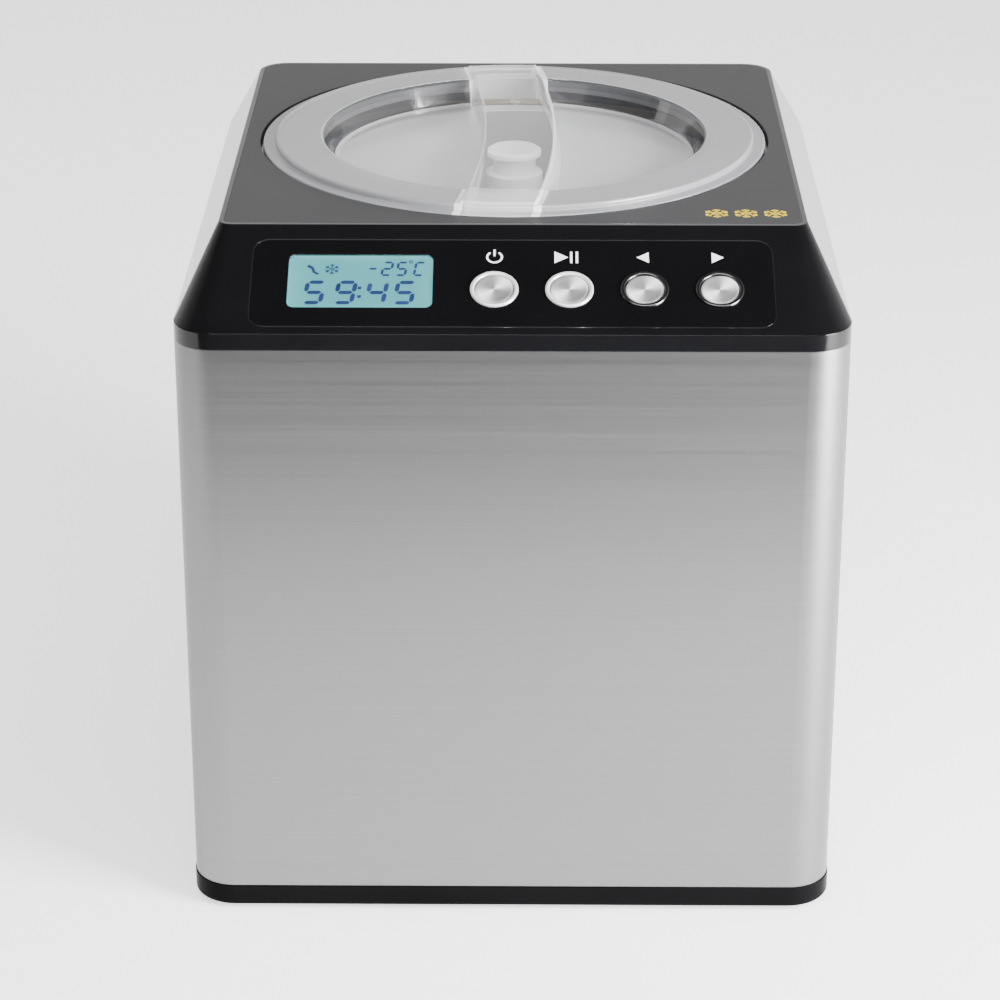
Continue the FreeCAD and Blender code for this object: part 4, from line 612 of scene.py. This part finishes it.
def display_readout():
    """Big minutes and seconds, a small temperature, a snowflake and a paddle mark."""
    west, base = WINDOW_WEST, WINDOW_LOW + BIG_BASE
    small_y = base + SMALL_BASE
    mesh_data = bmesh.new()
    for text, start in zip("5945", BIG_STARTS):
        digit(mesh_data, text, west + start, base, *BIG_DIGIT)
    for level in COLON_LEVELS:
        dot(mesh_data, west + COLON_START, base + level, COLON_SIDE)
    for text, start in zip("-25C", SMALL_STARTS):
        digit(mesh_data, text, west + start, small_y, *SMALL_DIGIT)
    prism(mesh_data, shifted(open_ring(DEGREE_OUTER, DEGREE_INNER, 0, 330, 11), west, small_y,
                             DEGREE_PLACE), *CELL_LEVEL, SLOPE_FRAME)
    snowflake(mesh_data, (west + FROST_PLACE[0], small_y + FROST_PLACE[1]), FROST_RADIUS,
              FROST_STROKE, CELL_LEVEL)
    prism(mesh_data, shifted(PADDLE_MARK, west, small_y, PADDLE_PLACE), *CELL_LEVEL, SLOPE_FRAME)
    bmesh.ops.recalc_face_normals(mesh_data, faces=mesh_data.faces)
    item = piece("display_readout", mesh_data, printed("display_ink", (0.008, 0.03, 0.15)))
    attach(item, "housing")


# Button marks in millimetres: power ring and stem, play triangle with pause bars, two arrows
POWER_OUTER, POWER_INNER, POWER_START, POWER_END = 3.4, 2.6, 125, 415
STEM_HALF, STEM_LOW, STEM_HIGH = 0.4, 0.6, 4.3
PLAY_LEAD, PLAY_LONG, PLAY_HALF = 6, 5.6, 3.3
PAUSE_STARTS, PAUSE_WIDE, PAUSE_HALF = (6.4, 8.7), 0.9, 3.2
ARROW_LEAD, ARROW_BACK, ARROW_TIP, ARROW_HALF = 0.4, 2.4, 2.5, 3


def panel_icons():
    """White marks over the four buttons, with a faint painted glow."""
    play = BUTTON_FIRST + BUTTON_PITCH - PLAY_LEAD
    outlines = [
        shifted(open_ring(POWER_OUTER, POWER_INNER, POWER_START, POWER_END, 32),
                BUTTON_FIRST, ICON_UP),
        rectangle(BUTTON_FIRST - STEM_HALF, ICON_UP + STEM_LOW,
                  BUTTON_FIRST + STEM_HALF, ICON_UP + STEM_HIGH),
        [(play, ICON_UP - PLAY_HALF), (play + PLAY_LONG, ICON_UP), (play, ICON_UP + PLAY_HALF)],
    ]
    for bar in PAUSE_STARTS:
        outlines.append(rectangle(play + bar, ICON_UP - PAUSE_HALF,
                                  play + bar + PAUSE_WIDE, ICON_UP + PAUSE_HALF))
    for count, side in ((2, -1), (3, 1)):
        x = BUTTON_FIRST + count * BUTTON_PITCH - ARROW_LEAD
        arrow = [(x - side * ARROW_BACK, ICON_UP - ARROW_HALF), (x + side * ARROW_TIP, ICON_UP),
                 (x - side * ARROW_BACK, ICON_UP + ARROW_HALF)]
        outlines.append(arrow if side > 0 else list(reversed(arrow)))
    mesh_data = bmesh.new()
    for outline in outlines:
        prism(mesh_data, outline, *PRINT_LEVELS, SLOPE_FRAME)
    bmesh.ops.recalc_face_normals(mesh_data, faces=mesh_data.faces)
    # White print with a 0.15 painted glow
    item = piece("panel_icons", mesh_data, printed("icon_white_painted_glow", (0.85, 0.85, 0.85), 0.15))
    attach(item, "housing")


# Deck mark in millimetres, right of the middle and back from the deck's front edge
MARK_FIRST, MARK_PITCH, MARK_UP = 84.5, 12.2, 13.5
MARK_RADIUS, MARK_STROKE = 5.2, 1.05


def deck_mark():
    """Three plain yellow snowflakes on the deck, with a painted glow."""
    mesh_data = bmesh.new()
    top = DECK_HIGH.z / MM
    for count in range(3):
        centre = (MARK_FIRST + MARK_PITCH * count, DECK_LOW.y / MM + MARK_UP)
        snowflake(mesh_data, centre, MARK_RADIUS, MARK_STROKE, (top - 0.02, top + 0.04), Matrix())
    bmesh.ops.recalc_face_normals(mesh_data, faces=mesh_data.faces)
    # Yellow print with a 0.25 painted glow
    item = piece("deck_mark", mesh_data, printed("mark_yellow_painted_glow", (0.7, 0.5, 0.0), 0.25))
    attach(item, "housing")


# ---- Buttons ---------------------------------------------------------------------

BUTTON_FOOT = -3.2
CAP_RADIUS, CAP_EDGE = 7.75, 0.5
CAP_DISH = [(6.6, 0.52), (6.3, 0.42), (4, 0.3), (2, 0.24), (0, 0.22)]
BEZEL_INNER, BEZEL_OUTER, BEZEL_ROLL, BEZEL_LIP = 8.05, 9.8, 0.6, 0.7


def button_pieces():
    """Dished spun caps and rolled bezels in place of the plain turned ones."""
    cap_outline = [(0, BUTTON_FOOT), (6.9, BUTTON_FOOT), (CAP_RADIUS, -2.4), (CAP_RADIUS, 0.0)] + \
        arc_points((CAP_RADIUS - CAP_EDGE, 0.0), CAP_EDGE, 0, 90, 6) + CAP_DISH
    ring_outline = [(BEZEL_INNER, BUTTON_FOOT), (BEZEL_OUTER, BUTTON_FOOT), (BEZEL_OUTER, 0.2)] + \
        arc_points((BEZEL_OUTER - BEZEL_ROLL, 0.25), BEZEL_ROLL, 0, 90, 6) + \
        arc_points((BEZEL_INNER + BEZEL_LIP, 0.15), BEZEL_LIP, 90, 180, 8) + \
        [(BEZEL_INNER, BUTTON_FOOT)]
    for count, name in enumerate(BUTTON_NAMES):
        spot = SLOPE_FRAME @ Matrix.Translation(Vector(
            ((BUTTON_FIRST + count * BUTTON_PITCH) * MM, BUTTON_UP * MM, 0)))
        cap = piece(name + "_cap", lathe(cap_outline), SLOTS["cap_spun"],
                    name + "_button")
        cap.matrix_world = spot
        smooth(cap)
        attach(cap, name + "_key")
        slot = node_slots[name + "_ring"]
        bezel = piece(name + "_bezel", lathe(ring_outline), SLOTS[slot], name + "_ring")
        bezel.matrix_world = spot
        smooth(bezel)
        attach(bezel, "housing")


# ---- Studio ----------------------------------------------------------------------

# Name, place, aim, size in metres and power in watts
LIGHTS = (
    ("key_right", (1.1, -0.72, 0.35), (0, -0.1, 0.15), (0.6, 1.1), 140),
    ("fill_left", (-1.2, 0.3, 0.45), (0, 0, 0.2), (0.5, 1.1), 1.5),
    ("top_soft", (0, -0.7, 1.5), (0, 0, 0.28), (1.0, 0.6), 17),
)
# Name, centre, half-span across and half-span up, in metres
FLAGS = (
    ("front_flag", (0, -1.25, 0.6), (1.1, 0, 0), (0, 0, 0.55)),
    ("floor_flag", (0, -1.35, 0.004), (1.2, 0, 0), (0, 0.75, 0)),
    ("left_flag", (-0.95, -0.3, 0.5), (0, 0.6, 0), (0, 0, 0.5)),
)
FLOOR_SIZE, FLOOR_GLOW = 25, 1.3
CAMERA_PLACE = (5.5 * MM, -1356.8 * MM, 717.0 * MM)
CAMERA_DOWN, CAMERA_TURN = 0.4112, 0.0086
CAMERA_LENS = 115.8


def area_light(name, place, aim, size, power):
    data = bpy.data.lights.new(name, "AREA")
    data.shape = "RECTANGLE"
    data.size, data.size_y = size
    data.energy = power
    item = linked(name, data)
    item.location = place
    item.rotation_mode = "QUATERNION"
    item.rotation_quaternion = (Vector(aim) - Vector(place)).to_track_quat("-Z", "Y")


def flag(name, centre, across, up):
    """Dark studio card between two half-spans that only shows in reflections."""
    mesh_data = bmesh.new()
    across, up = Vector(across), Vector(up)
    mesh_data.faces.new([mesh_data.verts.new(Vector(centre) + across * east + up * north)
                         for east, north in ((-1, -1), (1, -1), (1, 1), (-1, 1))])
    card = solid(name, mesh_data, grained_plastic(name + "_cloth", (0.02, 0.02, 0.02), 0.9))
    card.visible_camera = False
    card.visible_diffuse = False
    card.visible_transmission = False
    card.visible_shadow = False


def pale_floor():
    mesh_data = bmesh.new()
    bmesh.ops.create_grid(mesh_data, x_segments=8, y_segments=8, size=FLOOR_SIZE)
    pale = grained_plastic("floor_pale", (0.9, 0.9, 0.9), roughness=0.7, grain=300, depth=0.05,
                           spread_of_tone=0.01)
    fill(pale.node_tree, pale.node_tree.nodes["Principled BSDF"],
         Emission_Color=(1, 1, 1, 1), Emission_Strength=FLOOR_GLOW)
    floor = solid("floor", mesh_data, pale)


def sky():
    """White surround, bright near the horizon and dim overhead."""
    world = bpy.data.worlds.new("studio")
    world.use_nodes = True
    tree = world.node_tree
    around = add(tree, "ShaderNodeTexCoord").outputs["Generated"]
    up = add(tree, "ShaderNodeSeparateXYZ", i0=around).outputs[2]
    fade = add(tree, "ShaderNodeMapRange", Value=up, From_Min=0.35, From_Max=0.8, To_Min=1.35,
               To_Max=0.12)
    fill(tree, tree.nodes["Background"], i0=(1, 1, 1, 1), i1=fade.outputs[0])
    bpy.context.scene.world = world


def studio():
    pale_floor()
    sky()
    for light in LIGHTS:
        area_light(*light)
    for card in FLAGS:
        flag(*card)


def camera():
    """Camera a little right of the middle, in front of and above the machine."""
    data = bpy.data.cameras.new("camera")
    data.sensor_width = 36
    data.lens = CAMERA_LENS
    data.clip_start = 0.05
    item = linked("camera", data)
    item.location = CAMERA_PLACE
    item.rotation_euler = (math.pi / 2 - CAMERA_DOWN, 0, CAMERA_TURN)
    bpy.context.scene.camera = item


display_readout()
panel_icons()
deck_mark()
button_pieces()
studio()
camera()
